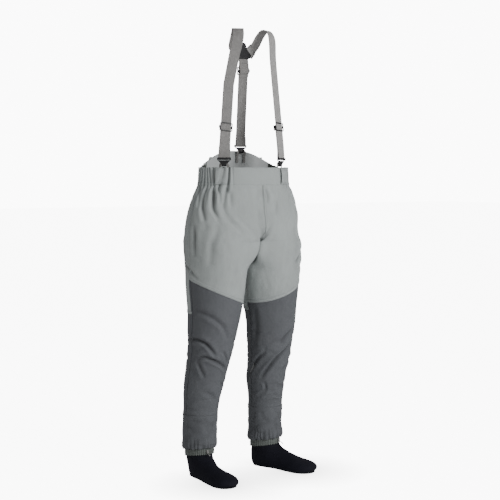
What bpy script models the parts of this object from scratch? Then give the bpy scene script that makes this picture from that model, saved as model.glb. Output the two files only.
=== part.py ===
"""Stocking-foot wading trousers with clip-on Y-back braces.

Frame: metres, +Z up, the wearer faces -Y and +X is the wearer's left.
The origin is on the ground, at the middle of the model's footprint.
"""

import math

import bmesh
import bpy
from mathutils import Matrix, Vector

# Driving dimensions -------------------------------------------------------
RIM_Z = 1.033  # top edge of the front of the waistband
BACK_RISE = 0.057  # how much higher the back of the waistband stands
BAND_Z = 0.976  # bottom edge of the waistband
CROTCH_Z = 0.79
GUARD_TOP_Z = 0.215  # where the gravel guards are sewn round the shins
ANKLE_X = 0.135  # half the distance between the ankles
ANKLE_Y = 0.062
SHELL = 0.0012  # laminated shell fabric
LINING = 0.0006
ELASTIC = 0.0010
GAP = 0.0003  # between one sewn piece and the next
EDGE = 0.0008  # from a seam to the edge of each shell panel
NEOPRENE = 0.004
SOLE = 0.0036
TOE_OUT = {"right": math.radians(-4), "left": math.radians(22)}
SIDES = {"right": -1, "left": 1}
FOOTPRINT = (-0.01008, 0.00997, 0.0)  # from the footprint's middle to the body's axis
WAIST_TWIST = math.radians(-7.5)  # the waistband sits turned to the wearer's right
PANEL_TURN = 50  # degrees from the front to the waistband's side panels
BACK_TURN = 130  # and to its back panel
LOOP_TURN = 45  # and to the middle of a front belt loop
BACK_LOOP_TURN = 148
LOOP_WIDTH = 0.036
CALF_Z = 0.556  # where the light fabric ends at the back
RING = 24  # points round a sock or an ankle

STRAP_WIDTH = 0.038
STRAP = 0.0016
BAR_R = 0.0019  # the bars that the webbing runs round
LOOP_R = BAR_R + 0.0004 + STRAP / 2  # middle of the webbing round a bar
LAYER = STRAP + 0.0005  # from one layer of webbing to the next
CLIP_WIDTH, HOOK_WIDTH = 0.0445, 0.016
WIRE_R, TAB = 0.0009, 0.0010  # the lace hooks' wire and the tape that holds it
HOOK_Z = 0.0905
CLIP_TURN = 41  # degrees from the front of the waistband to the front clips
CLIP_Z = 1.0615  # height of the front clips' bars
BACK_CLIP_TURN, BACK_CLIP_Z = 166, 1.1075
BRACES_TOP_Z = 1.486
LEAN = 0.016  # how far the yoke hangs to the wearer's left
YOKE_Y, YOKE_Z = 0.020, 1.403
YOKE_SPREAD = 38  # degrees that each shoulder strap leaves the yoke outwards
STRAP_HEAD = {"right": (-0.0948, -0.0555, 1.300), "left": (0.0918, -0.0555, 1.300)}
STRAP_FACING = {"right": -8, "left": 20}
ADJUSTER_Z = {"right": 1.163, "left": 1.167, "back": 1.355}

# Height, half width, depth to the front and depth to the back of the seat.
SEAT = [
    (1.100, 0.163, 0.106, 0.081),
    (1.033, 0.165, 0.108, 0.083),
    (0.976, 0.170, 0.110, 0.087),
    (0.940, 0.186, 0.114, 0.098),
    (0.900, 0.199, 0.118, 0.109),
    (0.850, 0.207, 0.122, 0.118),
    (0.790, 0.213, 0.125, 0.122),
]
# Height, middle across, middle front to back, half width, half depth of a leg.
LEG = [
    (0.790, 0.1072, 0.002, 0.1068, 0.119),
    (0.700, 0.1085, 0.002, 0.1030, 0.109),
    (0.600, 0.1120, 0.001, 0.0940, 0.098),
    (0.540, 0.1150, 0.003, 0.0870, 0.090),
    (0.430, 0.1210, 0.018, 0.0760, 0.079),
    (0.320, 0.1280, 0.042, 0.0670, 0.069),
    (0.215, 0.1330, 0.059, 0.0590, 0.061),
    (0.100, 0.1350, 0.062, 0.0570, 0.059),
]
# A sock's side profile: the instep's and the heel's or sole's points, each as
# distance in front of the ankle and height, and the half width between them.
SOCK = [
    ((0.050, 0.128), (-0.050, 0.128), 0.0445),
    ((0.050, 0.100), (-0.050, 0.094), 0.0445),
    ((0.0515, 0.083), (-0.050, 0.066), 0.0435),
    ((0.063, 0.073), (-0.0520, 0.042), 0.0395),
    ((0.081, 0.064), (-0.0520, 0.020), 0.0365),
    ((0.098, 0.057), (-0.046, 0.001), 0.0350),
    ((0.115, 0.052), (-0.026, -0.014), 0.0350),
    ((0.135, 0.046), (0.030, -0.018), 0.0400),
    ((0.155, 0.042), (0.085, -0.018), 0.0460),
    ((0.174, 0.038), (0.130, -0.016), 0.0470),
    ((0.190, 0.033), (0.166, -0.010), 0.0410),
    ((0.200, 0.026), (0.190, 0.000), 0.0290),
    ((0.206, 0.018), (0.205, 0.012), 0.0100),
]

# Scene helpers ------------------------------------------------------------


def clear_scene():
    for found in list(bpy.data.objects):
        bpy.data.objects.remove(found)


def make_material(name, colour, roughness, metallic=0.0):
    made = bpy.data.materials.new(name)
    made.use_nodes = True
    shader = made.node_tree.nodes["Principled BSDF"]
    shader.inputs["Base Color"].default_value = (*colour, 1.0)
    shader.inputs["Roughness"].default_value = roughness
    shader.inputs["Metallic"].default_value = metallic
    return made


def link(name, data, material):
    """A new object in the waders' collection."""
    made = bpy.data.objects.new(name, data)
    COLLECTION.objects.link(made)
    data.materials.append(material)
    return made


def finish_mesh(name, mesh, material):
    mesh.shade_smooth()
    mesh.set_sharp_from_angle(angle=math.radians(40))
    return link(name, mesh, material)


def move_origin(made, place):
    """Moves an object's origin, and leaves its mesh where it is."""
    made.data.transform(Matrix.Translation(-Vector(place)))
    made.location = place


def stand_on_footprint():
    """Hangs every object on an empty that centres the footprint on the origin."""
    footprint = bpy.data.objects.new("footprint", None)
    footprint.location = FOOTPRINT
    COLLECTION.objects.link(footprint)
    for made in COLLECTION.objects:
        if made is not footprint:
            made.parent = footprint


def evaluated_mesh(source):
    """The object's mesh with its modifiers applied and a curve's caps welded."""
    graph = bpy.context.evaluated_depsgraph_get()
    mesh = bpy.data.meshes.new_from_object(source.evaluated_get(graph))
    shape = bmesh.new()
    shape.from_mesh(mesh)
    bmesh.ops.remove_doubles(shape, verts=shape.verts, dist=1e-6)
    bmesh.ops.recalc_face_normals(shape, faces=shape.faces)
    shape.to_mesh(mesh)
    shape.free()
    return mesh


def as_mesh(source):
    """Turns a curve object into a mesh object in the same place."""
    mesh = evaluated_mesh(source)
    name, matrix = source.name, source.matrix_world.copy()
    data = source.data
    bpy.data.objects.remove(source)
    bpy.data.curves.remove(data)
    made = bpy.data.objects.new(name, mesh)
    COLLECTION.objects.link(made)
    made.matrix_world = matrix
    return made


def combine(base, others):
    """Joins other solids to base and removes them."""
    for other in others:
        step = base.modifiers.new("union", "BOOLEAN")
        step.operation = "UNION"
        step.object = other
        step.solver = "EXACT"
    bpy.context.view_layer.update()
    mesh = evaluated_mesh(base)
    base.modifiers.clear()
    base.data = mesh
    for other in others:
        bpy.data.objects.remove(other)


# Interpolation ------------------------------------------------------------


def between(table, height):
    """The table's row at a height, smoothly between its rows, highest first."""
    rows = table
    if height >= rows[0][0]:
        return rows[0][1:]
    if height <= rows[-1][0]:
        return rows[-1][1:]
    index = next(i for i in range(len(rows) - 1) if rows[i + 1][0] <= height)
    here, there = rows[index], rows[index + 1]
    before = rows[max(index - 1, 0)]
    after = rows[min(index + 2, len(rows) - 1)]
    span = there[0] - here[0]
    t = (height - here[0]) / span
    found = []
    for k in range(1, len(here)):
        slope_a = (there[k] - before[k]) / (there[0] - before[0])
        slope_b = (after[k] - here[k]) / (after[0] - here[0])
        a, b = here[k], there[k]
        found.append(
            (2 * t**3 - 3 * t**2 + 1) * a
            + (t**3 - 2 * t**2 + t) * span * slope_a
            + (3 * t**2 - 2 * t**3) * b
            + (t**3 - t**2) * span * slope_b
        )
    return found


def smoothstep(low, high, value):
    t = min(max((value - low) / (high - low), 0.0), 1.0)
    return t * t * (3 - 2 * t)


def curve_through(keys, steps):
    """Points on a smooth curve through the keys, which are vectors of any size."""
    found = []
    for i in range(len(keys) - 1):
        a, b = keys[i], keys[i + 1]
        before = keys[max(i - 1, 0)]
        after = keys[min(i + 2, len(keys) - 1)]
        for step in range(steps):
            t = step / steps
            found.append(
                [
                    0.5
                    * (
                        2 * q
                        + (r - p) * t
                        + (2 * p - 5 * q + 4 * r - s) * t * t
                        + (3 * q - p - 3 * r + s) * t**3
                    )
                    for p, q, r, s in zip(before, a, b, after)
                ]
            )
    found.append(list(keys[-1]))
    return found


# The trousers' surface ----------------------------------------------------


def seat_point(turn, height):
    """On the seat and waistband, at an angle from the front towards the left."""
    half, front, back = between(SEAT, height)
    depth = front if abs(turn) <= math.pi / 2 else back
    return Vector((half * math.sin(turn), -depth * math.cos(turn), height))


def leg_point(share, height):
    """On the left leg. The share runs from the inseam forwards and round."""
    middle_x, middle_y, half, depth = between(LEG, height)
    angle = 2 * math.pi * share
    reach = math.cos(angle)
    if reach > 0:
        # Near the crotch the two legs lie flat against each other.
        full = reach * (1 + 0.9 * smoothstep(0.69, CROTCH_Z, height))
        reach = full - smoothstep(0.8, 1.2, full) * (full - 1) if full < 1.2 else 1.0
    x = middle_x - half * reach
    return Vector((x, middle_y - depth * math.sin(angle), height))


def trouser_point(side, share, height):
    """On the outer surface of one half of the trousers.

    The share runs from the front seam or inseam (0) over the side seam (0.5)
    to the back seam or inseam (1).
    """
    leg = leg_point(share, min(height, CROTCH_Z))
    leg.z = height
    if height >= CROTCH_Z:
        fall = max((BAND_Z - height) / (BAND_Z - CROTCH_Z), 0.0)
        # Towards the crotch the fabric beside the middle seam is drawn in to it.
        near = 0.5 * min(2 * share, 2 - 2 * share) ** 2.4
        drawn = near if share < 0.5 else 1 - near
        turned = share + (drawn - share) * smoothstep(0.35, 1.0, fall)
        seat = seat_point(math.pi * turned, height)
        # The middle seam hangs straight and turns under at the crotch.
        steep = 1.6 + 14.4 * abs(math.cos(math.pi * share)) ** 3
        weight = fall**steep
        leg = seat.lerp(leg, weight)
    leg.x = SIDES[side] * max(leg.x, GAP)
    return leg


def rim_height(turn):
    """The waistband's top edge, which arches up to the middle of the back."""
    from_front = abs((turn - WAIST_TWIST + math.pi) % (2 * math.pi) - math.pi)
    return RIM_Z + BACK_RISE * smoothstep(math.radians(106), math.radians(174), from_front)


def surface_normal(point_at, a, b, da, db):
    """The outward normal of point_at at (a, b), by small differences."""
    along = point_at(a + da, b) - point_at(a - da, b)
    up = point_at(a, b + db) - point_at(a, b - db)
    return along.cross(up).normalized()


# Solids from grids of points ----------------------------------------------


def sheet(name, rows, material, thickness, offset=-1.0, closed=False):
    """A sheet of fabric through a grid of points, made solid by Solidify.

    Each row runs the same way round and the rows run downwards, so that the
    faces look outwards. The thickness goes inwards unless the offset is 1.
    """
    shape = bmesh.new()
    grid = [[shape.verts.new(point) for point in row] for row in rows]
    across = len(rows[0])
    for upper, lower in zip(grid, grid[1:]):
        for i in range(across if closed else across - 1):
            j = (i + 1) % across
            shape.faces.new((upper[i], lower[i], lower[j], upper[j]))
    mesh = bpy.data.meshes.new(name)
    shape.to_mesh(mesh)
    shape.free()
    made = finish_mesh(name, mesh, material)
    solid = made.modifiers.new("thickness", "SOLIDIFY")
    solid.thickness = thickness
    solid.offset = offset
    solid.use_even_offset = True
    return made


def trouser_panel(name, side, shares, top, bottom, material, size):
    """A panel of one half, between two shares and two heights or height rules."""
    columns, count = size
    first, last = shares
    # The panel stops a little short of its seams.
    trim = 0.0011
    rows = []
    for j in range(count + 1):
        row = []
        for i in range(columns + 1):
            share = first + trim + (last - first - 2 * trim) * i / columns
            high = (top(share) if callable(top) else top) - EDGE
            low = (bottom(share) if callable(bottom) else bottom) + EDGE
            t = j / count
            if abs(low - CROTCH_Z) < 0.002:
                t = 1 - (1 - t) ** 1.6
            height = high + (low - high) * t
            row.append(trouser_point(side, share, height))
        rows.append(row if side == "left" else row[::-1])
    return sheet(name, rows, material, SHELL)


def outward_at(side, share, height):
    share = min(max(share, 0.004), 0.996)

    def on_half(a, b):
        return trouser_point(side, a, b)

    step = 0.002 if height < CROTCH_Z or height > CROTCH_Z + 0.004 else 0.001
    normal = surface_normal(on_half, share, height, 0.003, step)
    return normal * SIDES[side]


def thigh_seam(share):
    """Height of the seam over the reinforced leg front: low inside, high outside."""
    return 0.583 + 0.097 * smoothstep(0.02, 0.62, share) ** 1.15


def make_trousers():
    light, dark = MATERIALS["light_shell"], MATERIALS["dark_shell"]
    for side in SIDES:
        front, back = (0.0, 0.5), (0.5, 1.0)
        trouser_panel(f"{side}_seat_front", side, front, BAND_Z, CROTCH_Z, light, (14, 14))
        trouser_panel(f"{side}_seat_back", side, back, BAND_Z, CROTCH_Z, light, (14, 14))
        trouser_panel(f"{side}_thigh_front", side, front, CROTCH_Z, thigh_seam, light, (14, 9))
        trouser_panel(f"{side}_thigh_back", side, back, CROTCH_Z, CALF_Z, light, (14, 9))
        trouser_panel(f"{side}_leg_front", side, front, thigh_seam, GUARD_TOP_Z, dark, (10, 12))
        trouser_panel(f"{side}_leg_back", side, back, CALF_Z, GUARD_TOP_Z, dark, (10, 10))


# Waistband ----------------------------------------------------------------


def band_point(turn, height):
    """A point of the waistband's outer surface and the level normal there."""
    turn = (turn + math.pi) % (2 * math.pi) - math.pi
    point = seat_point(turn, height)
    half, front, back = between(SEAT, height)
    depth = front if abs(turn) <= math.pi / 2 else back
    normal = Vector((point.x / half**2, point.y / depth**2, 0)).normalized()
    return point, normal


def band_sheet(name, turns, top, bottom, material, columns, inset=0.0, thickness=SHELL):
    """A piece of the waistband between two angles, from a height rule downwards."""
    first, last = (math.radians(turn) for turn in turns)
    trim, count = 0.002, 3
    rows = []
    for j in range(count + 1):
        row = []
        for i in range(columns + 1):
            turn = first + trim + (last - first - 2 * trim) * i / columns
            height = top(turn) + (bottom - top(turn)) * j / count
            point, normal = band_point(turn, height)
            row.append(point - inset * normal)
        rows.append(row)
    return sheet(name, rows, material, thickness)


def belt_loop(name, turn):
    """A fabric loop that stands off the waistband and is sewn down at its ends."""
    stand_off = 0.0040
    turn_width = LOOP_WIDTH / 0.145  # on the waistband's radius there
    rim = rim_height(turn) - 0.003
    bottom = BAND_Z + 0.003
    rows = []
    for share, off in [(0, 0.0), (0.06, 0.7), (0.16, 1), (0.5, 1.1), (0.84, 1), (0.94, 0.7), (1, 0.0)]:
        height = rim + (bottom - rim) * share
        row = []
        for k in (-0.5, -0.25, 0.0, 0.25, 0.5):
            point, normal = band_point(turn + k * turn_width, height)
            row.append(point + normal * (GAP + 0.0004 + stand_off * off))
        rows.append(row)
    return sheet(name, rows, MATERIALS["light_shell"], SHELL, offset=1.0)


def make_waistband():
    light = MATERIALS["light_shell"]
    twist = math.degrees(WAIST_TWIST)
    edges = [twist - BACK_TURN, twist - PANEL_TURN, twist + PANEL_TURN, twist + BACK_TURN]
    edges.append(edges[0] + 360)
    names = ("right", "front", "left", "back")
    for name, first, last in zip(names, edges, edges[1:]):
        band_sheet(f"{name}_waistband", (first, last), rim_height, BAND_Z + GAP, light, 12)
    inset = SHELL + 2 * GAP
    for side, sign in SIDES.items():
        turns = sorted(twist + sign * turn for turn in (PANEL_TURN + 2, BACK_TURN - 2))
        band_sheet(
            f"{side}_waist_elastic",
            turns,
            lambda turn: RIM_Z - 0.008,
            BAND_Z + 0.008,
            MATERIALS["elastic"],
            12,
            inset,
            ELASTIC,
        )
    inset += ELASTIC + 3 * GAP
    band_sheet(
        "waist_facing",
        (twist - 176, twist + 176),
        lambda turn: rim_height(turn) - 0.003,
        BAND_Z + 0.002,
        MATERIALS["lining"],
        40,
        inset,
        LINING,
    )
    for side, sign in SIDES.items():
        belt_loop(f"{side}_front_belt_loop", math.radians(twist + sign * LOOP_TURN))
        belt_loop(f"{side}_back_belt_loop", math.radians(twist + sign * BACK_LOOP_TURN))


def make_seam_tapes():
    """The waterproof tapes on the inside of the middle seam and the inseams."""
    tape = MATERIALS["seam_tape"]
    inset, thickness, reach = SHELL + 0.0020, 0.0005, 0.030
    top, low = BAND_Z - 0.004, CROTCH_Z + 0.070
    for name, share in (("front_seam_tape", reach), ("back_seam_tape", 1 - reach)):
        rows = []
        for i in range(5):
            height = top + (low - top) * i / 4
            left = trouser_point("left", share, height)
            left -= inset * outward_at("left", share, height)
            middle = trouser_point("left", 0.004 if share < 0.5 else 0.996, height)
            middle -= inset * outward_at("left", share, height)
            row = [Vector((-left.x, left.y, left.z)), Vector((0, middle.y, height)), left]
            rows.append(row if share < 0.5 else row[::-1])
        sheet(name, rows, tape, thickness)
    top, low = CROTCH_Z - 0.015, GUARD_TOP_Z + 0.035
    for side in SIDES:
        rows = []
        for i in range(11):
            height = top + (low - top) * i / 10
            row = []
            for share in (0.975, 1.0, 0.025):
                point = trouser_point(side, share, height)
                row.append(point - inset * outward_at(side, share, height))
            rows.append(row if side == "left" else row[::-1])
        sheet(f"{side}_inseam_tape", rows, tape, thickness)


# Ankles, socks and gravel guards ------------------------------------------


def foot_frame(side):
    """Turns (out to the wearer's left, forwards, up) at an ankle into the frame."""
    turn = TOE_OUT[side]
    forward = Vector((math.sin(turn), -math.cos(turn), 0))
    left = Vector((math.cos(turn), math.sin(turn), 0))
    origin = Vector((SIDES[side] * ANKLE_X, ANKLE_Y, 0))

    def place(across, ahead, up):
        return origin + left * across + forward * ahead + Vector((0, 0, up))

    return place


def ankle_ring(side, across, along, height, rise, shift):
    """A ring round an ankle, seen from above anticlockwise, higher in front.

    The shift moves it forwards and towards the middle, as the shin leans.
    """
    place = foot_frame(side)
    lean = Vector((-SIDES[side] * shift * 0.6, -shift, 0))
    ring = []
    for i in range(RING):
        angle = 2 * math.pi * i / RING
        ahead = along * math.cos(angle)
        here = place(across * math.sin(angle), ahead, height + rise * ahead / along)
        ring.append(here + lean)
    return ring


def ankle_tube(name, side, stations, material, thickness, offset=-1.0):
    """A closed tube round an ankle through stations that run downwards."""
    rows = [ankle_ring(side, *station) for station in stations]
    return sheet(name, rows, material, thickness, offset, closed=True)


def sock_ring(side, station, inset):
    """A section of the sock across its own length, inset from the outer skin."""
    place = foot_frame(side)
    (top_f, top_z), (low_f, low_z), width = station
    inner = -SIDES[side]
    top, low = Vector((top_f, top_z)), Vector((low_f, low_z))
    reach = (top - low) / 2
    centre = (top + low) / 2
    reach *= 1 - inset / reach.length
    floor = SOLE + GAP + inset
    # The big-toe side is fuller than the other.
    bend = 0.006 * inner * smoothstep(0.03, 0.15, centre.x)
    squareness = 1 - 0.12 * smoothstep(0.0, 0.05, centre.x)
    ring = []
    for i in range(RING):
        angle = 2 * math.pi * i / RING
        c, s = math.cos(angle), math.sin(angle)
        wide = math.copysign(abs(s) ** squareness, s) * (width - inset) + bend
        ring.append(place(wide, centre.x + reach.x * c, max(centre.y + reach.y * c, floor)))
    return ring


def lined_vessel(name, outer, inner, material):
    """A vessel open at its first ring: outer rings down, inner rings back up."""
    shape = bmesh.new()
    rings = outer + inner[::-1]
    grid = [[shape.verts.new(point) for point in ring] for ring in rings]
    count = len(outer[0])
    turn = len(outer) - 1
    for k, (upper, lower) in enumerate(zip(grid, grid[1:])):
        if k == turn:
            continue
        for i in range(count):
            j = (i + 1) % count
            shape.faces.new((upper[i], lower[i], lower[j], upper[j]))
    first, last = grid[0], grid[-1]
    for i in range(count):
        j = (i + 1) % count
        shape.faces.new((last[i], first[i], first[j], last[j]))
    shape.faces.new(grid[turn][::-1])
    shape.faces.new(grid[turn + 1])
    mesh = bpy.data.meshes.new(name)
    shape.to_mesh(mesh)
    shape.free()
    return finish_mesh(name, mesh, material)


def make_sock(side):
    """The neoprene sock: an upper with a flat underside, and a sole under it."""
    outer = [sock_ring(side, station, 0.0) for station in SOCK]
    inner = [sock_ring(side, station, NEOPRENE) for station in SOCK[:-3]]
    lined_vessel(f"{side}_sock_upper", outer, inner, MATERIALS["neoprene"])
    sole = flat_plate(
        f"{side}_sock_sole", [sole_outline(-SIDES[side])], SOLE, MATERIALS["sock_sole"]
    )
    place = foot_frame(side)
    turn = Matrix.Rotation(TOE_OUT[side], 4, "Z")
    sole.matrix_world = Matrix.Translation(place(0, 0, SOLE / 2)) @ turn


def sole_outline(inner):
    """The sole seen from above: (across, ahead), the big toe on the inner side."""
    half_outline = [
        (-0.043, 0.000),
        (-0.032, 0.021),
        (0.000, 0.0285),
        (0.060, 0.029),
        (0.110, 0.036),
        (0.150, 0.040),
        (0.178, 0.033),
        (0.196, 0.014),
    ]
    outer = [(-width * inner, ahead) for ahead, width in half_outline]
    big_toe = [(width * inner * 1.05, ahead) for ahead, width in half_outline[:0:-1]]
    shifted = []
    for across, ahead in outer + big_toe:
        bend = 0.006 * inner * smoothstep(0.03, 0.15, ahead)
        shifted.append((across + bend, -ahead))
    return shifted


def flat_plate(name, outlines, thickness, material, smooth_outline=True):
    """A flat plate from closed outlines, as a mesh centred on its own plane."""
    data = bpy.data.curves.new(name, "CURVE")
    data.dimensions = "2D"
    data.fill_mode = "BOTH"
    data.extrude = thickness / 2
    data.resolution_u = 4
    for outline in outlines:
        spline = data.splines.new("BEZIER" if smooth_outline else "POLY")
        points = spline.bezier_points if smooth_outline else spline.points
        points.add(len(outline) - 1)
        for point, (x, y) in zip(points, outline):
            if smooth_outline:
                point.co = (x, y, 0)
                point.handle_left_type = point.handle_right_type = "AUTO"
            else:
                point.co = (x, y, 0, 1)
        spline.use_cyclic_u = True
    made = as_mesh(link(name, data, material))
    made.data.materials.clear()
    made.data.materials.append(material)
    return made


def make_ankles():
    tube = (0.0445, 0.050)
    joint_z = 0.129
    for side in SIDES:
        make_sock(side)
        # The leg goes on inside the guard, narrowing to the sock.
        sleeve = [
            (0.0570, 0.0590, 0.245, 0.0, 0.0050),
            (0.0560, 0.0580, 0.225, 0.0, 0.0035),
            (0.0500, 0.0540, 0.200, 0.0, 0.0015),
            (*tube, 0.178, 0.0, 0.0),
            (*tube, joint_z, 0.0, 0.0),
        ]
        ankle_tube(f"{side}_ankle_sleeve", side, sleeve, MATERIALS["lining"], 0.001)
        over = [(tube[0] + GAP, tube[1] + GAP, joint_z + up, 0.0, 0.0) for up in (0.011, -0.011)]
        ankle_tube(f"{side}_sock_seam_tape", side, over, MATERIALS["seam_tape"], 0.0006, 1.0)
        # The guard hangs outside the sleeve, and blouses over its gathered cuff.
        guard = [
            (0.0590, 0.0610, GUARD_TOP_Z - GAP, 0.0, 0.0030),
            (0.0580, 0.0600, 0.180, 0.0, 0.0015),
            (0.0575, 0.0600, 0.145, 0.002, 0.0),
            (0.0590, 0.0625, 0.118, 0.004, 0.0),
            (0.0585, 0.0625, 0.106, 0.006, 0.0),
            (0.0545, 0.0610, 0.098, 0.007, 0.0),
        ]
        ankle_tube(f"{side}_gravel_guard", side, guard, MATERIALS["dark_shell"], SHELL)
        cuff = [
            (0.0490, 0.0545, 0.0945, 0.008, 0.0),
            (0.0495, 0.0550, 0.0855, 0.008, 0.0),
            (0.0490, 0.0545, 0.0765, 0.008, 0.0),
        ]
        made = ankle_tube(f"{side}_guard_cuff", side, cuff, MATERIALS["elastic"], 0.0020)
        move_origin(made, foot_frame(side)(0, 0, cuff[1][2]))
        make_lace_hook(side)


def make_lace_hook(side):
    """The tab on the front of a cuff and the wire hook that swings in its fold."""
    place = foot_frame(side)
    turn = TOE_OUT[side]
    fold = WIRE_R + 0.0004 + TAB / 2
    ahead = 0.0551 + GAP + TAB / 2 + fold
    base = axes(place(0, ahead, HOOK_Z), lateral(turn), Vector((0, 0, 1)))
    path = [(-fold, 0.0085), (-fold, 0.004), *reversed(wrap_path(fold)), (fold, 0.004)]
    tab = path_frames(base, path)
    made = ribbon(f"{side}_lace_hook_tab", tab, 0.0070, MATERIALS["webbing"], TAB)
    move_origin(made, base.translation)
    wire = [
        (-0.0046, 0.0000, 0.0000),
        (0.0046, 0.0000, 0.0000),
        (0.0052, 0.0045, -0.0020),
        (0.0030, 0.0130, -0.0060),
        (0.0000, 0.0160, -0.0074),
        (-0.0030, 0.0148, -0.0050),
        (-0.0030, 0.0105, -0.0010),
    ]
    data = bpy.data.curves.new(f"{side}_lace_hook", "CURVE")
    data.dimensions = "3D"
    data.bevel_depth = WIRE_R
    data.bevel_resolution = 2
    data.use_fill_caps = True
    points = curve_through(wire, 3)
    spline = data.splines.new("POLY")
    spline.points.add(len(points) - 1)
    for point, (across, out, up) in zip(spline.points, points):
        point.co = (across, -out, up, 1.0)
    made = link(f"{side}_lace_hook", data, MATERIALS["steel"])
    made.matrix_world = base


# Braces -------------------------------------------------------------------


def lateral(turn):
    """The level direction along a band that faces outwards at a turn from -Y."""
    return Vector((math.cos(turn), math.sin(turn), 0))


def axes(origin, across, up):
    """A frame with X across, Z as near up as the across allows and -Y outwards."""
    up = up.normalized()
    across = (across - up * across.dot(up)).normalized()
    matrix = Matrix((across, up.cross(across), up)).transposed().to_4x4()
    matrix.translation = origin
    return matrix


def ribbon(name, frames, width, material, thickness=STRAP):
    """A flat strap whose frames run along its middle, downwards."""
    rows = [
        [frame @ Vector((width * k, 0, 0)) for k in (-0.5, 0.0, 0.5)]
        for frame in frames
    ]
    return sheet(name, rows, material, thickness, offset=0.0)


def band_frame(turn, height, inset):
    """A level frame at a turn of the waistband, inset from its outer surface."""
    point, normal = band_point(turn, height)
    facing = math.atan2(normal.x, -normal.y)
    return axes(point - normal * inset, lateral(facing), Vector((0, 0, 1)))


def clip_frames():
    """Each clip's frame, with its origin at the middle of its bar."""
    frames = {}
    for side, sign in SIDES.items():
        turn = math.radians(CLIP_TURN * sign) + WAIST_TWIST
        frames[side] = band_frame(turn, RIM_Z, 0.0010)
        frames[side].translation.z = CLIP_Z
    frames["back"] = band_frame(math.radians(BACK_CLIP_TURN), RIM_Z + BACK_RISE, 0.0092)
    frames["back"].translation.z = BACK_CLIP_Z
    return frames


def straight_run(name, clip):
    """Top and bottom of a strap's straight stretch, and its frame's directions."""
    foot = clip @ Vector((0, -LOOP_R, 0.0016))
    if name == "back":
        head = Vector((LEAN + 0.001, YOKE_Y, YOKE_Z - 0.012))
        across = Vector((-1, 0, 0))
        shares = (0.04, 0.80)
    else:
        head = Vector(STRAP_HEAD[name])
        across = lateral(math.radians(STRAP_FACING[name]))
        shares = (0.0, 0.77)
    top, bottom = (head.lerp(foot, share) for share in shares)
    return top, bottom, foot, axes(top, across, top - bottom)


def lower_frames(name, clip):
    """Frames down a strap from the top of its straight stretch to its clip."""
    top, bottom, foot, straight = straight_run(name, clip)
    frames = []
    for share in (0.0, 0.5, 1.0):
        frame = straight.copy()
        frame.translation = top.lerp(bottom, share)
        frames.append(frame)
    start, end = straight.to_quaternion(), clip.to_quaternion()
    for share in (0.25, 0.5, 0.75, 1.0):
        turned = start.slerp(end, smoothstep(0, 1, share)).to_matrix().to_4x4()
        turned.translation = bottom.lerp(foot, share)
        frames.append(turned)
    return frames


def path_frames(base, path):
    """Frames along a path of (outwards, up) in a base frame, its X kept."""
    frames = []
    points = [base @ Vector((0, -out, up)) for out, up in path]
    across = base.to_3x3() @ Vector((1, 0, 0))
    for i, point in enumerate(points):
        before, after = points[max(i - 1, 0)], points[min(i + 1, len(points) - 1)]
        frames.append(axes(point, across, before - after))
    return frames


def wrap_path(radius):
    """Round the underside of a bar, from its outer side to its inner side."""
    steps = 7
    return [
        (radius * math.cos(math.pi * i / steps), -radius * math.sin(math.pi * i / steps))
        for i in range(steps + 1)
    ]


def shoulder_frames(side):
    """Frames of a shoulder strap from the yoke over the shoulder to its front run."""
    sign = SIDES[side]
    lean = math.radians(YOKE_SPREAD) * sign
    up_and_out = Vector((math.sin(lean), 0, math.cos(lean)))
    start = Vector((LEAN + sign * 0.0185, YOKE_Y, YOKE_Z + 0.0030))
    keys = [
        (*start, 0),
        (*(start + up_and_out * 0.014), 0),
        (*(start + up_and_out * 0.027), 0),
        (*(start + up_and_out * 0.040 + Vector((0, -0.005, 0))), sign * 6),
        (LEAN + sign * 0.0490, YOKE_Y - 0.027, 1.4690, sign * 20),
        (LEAN + sign * 0.0560, YOKE_Y - 0.046, BRACES_TOP_Z, sign * 28),
        (LEAN * 0.9 + sign * 0.0630, YOKE_Y - 0.063, 1.4780, sign * 24),
        (LEAN * 0.8 + sign * 0.0685, YOKE_Y - 0.072, 1.4500, sign * 18),
        (LEAN * 0.5 + sign * 0.0780 - 0.004, YOKE_Y - 0.0755, 1.3900, STRAP_FACING[side]),
        (*STRAP_HEAD[side], STRAP_FACING[side]),
    ]
    points = curve_through(keys, 3)
    frames = []
    for i, (x, y, z, facing) in enumerate(points[:-1]):
        before = Vector(points[max(i - 1, 0)][:3])
        after = Vector(points[i + 1][:3])
        # Over the top of the shoulder the strap's outer face looks upwards.
        across = lateral(math.radians(facing))
        if y > YOKE_Y - 0.046:
            across = Vector((across.x, across.y * 0.3, 0))
        frames.append(axes(Vector((x, y, z)), across, before - after))
    return frames


def make_braces():
    webbing = MATERIALS["webbing"]
    clips = clip_frames()
    for side in SIDES:
        clip = clips[side]
        lower = lower_frames(side, clip)
        ribbon(f"{side}_shoulder_strap", shoulder_frames(side) + lower, STRAP_WIDTH, webbing)
        # The webbing comes round the clip's bar and back up to the adjuster.
        under = path_frames(clip, [(LOOP_R, 0.0012), *wrap_path(LOOP_R)])
        spacing = [0.0042, 0.0027, LAYER, LAYER]
        back = []
        for frame, behind in zip(lower[::-1][1:5], spacing):
            raised = frame.copy()
            raised.translation = frame @ Vector((0, behind, 0))
            back.append(raised)
        centre = adjuster_frame(side, clip)
        over = [(-LAYER, -0.012), (-LAYER, -0.001)]
        bend = BAR_R + 0.0004 + STRAP / 2
        bar_out = -(LAYER + bend)
        over += [
            (bar_out + bend * math.cos(math.pi * i / 5), bend * math.sin(math.pi * i / 5))
            for i in range(1, 6)
        ]
        over.append((bar_out - bend, -0.012))
        end = path_frames(centre, over)
        ribbon(f"{side}_strap_return", under + back + end, STRAP_WIDTH, webbing)
    make_back_strap(clips["back"])
    for name, clip in clips.items():
        make_adjuster(name, adjuster_frame(name, clip))
        make_clip(name, clip)
        make_clip_loop(name, clip)
    make_yoke()


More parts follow.
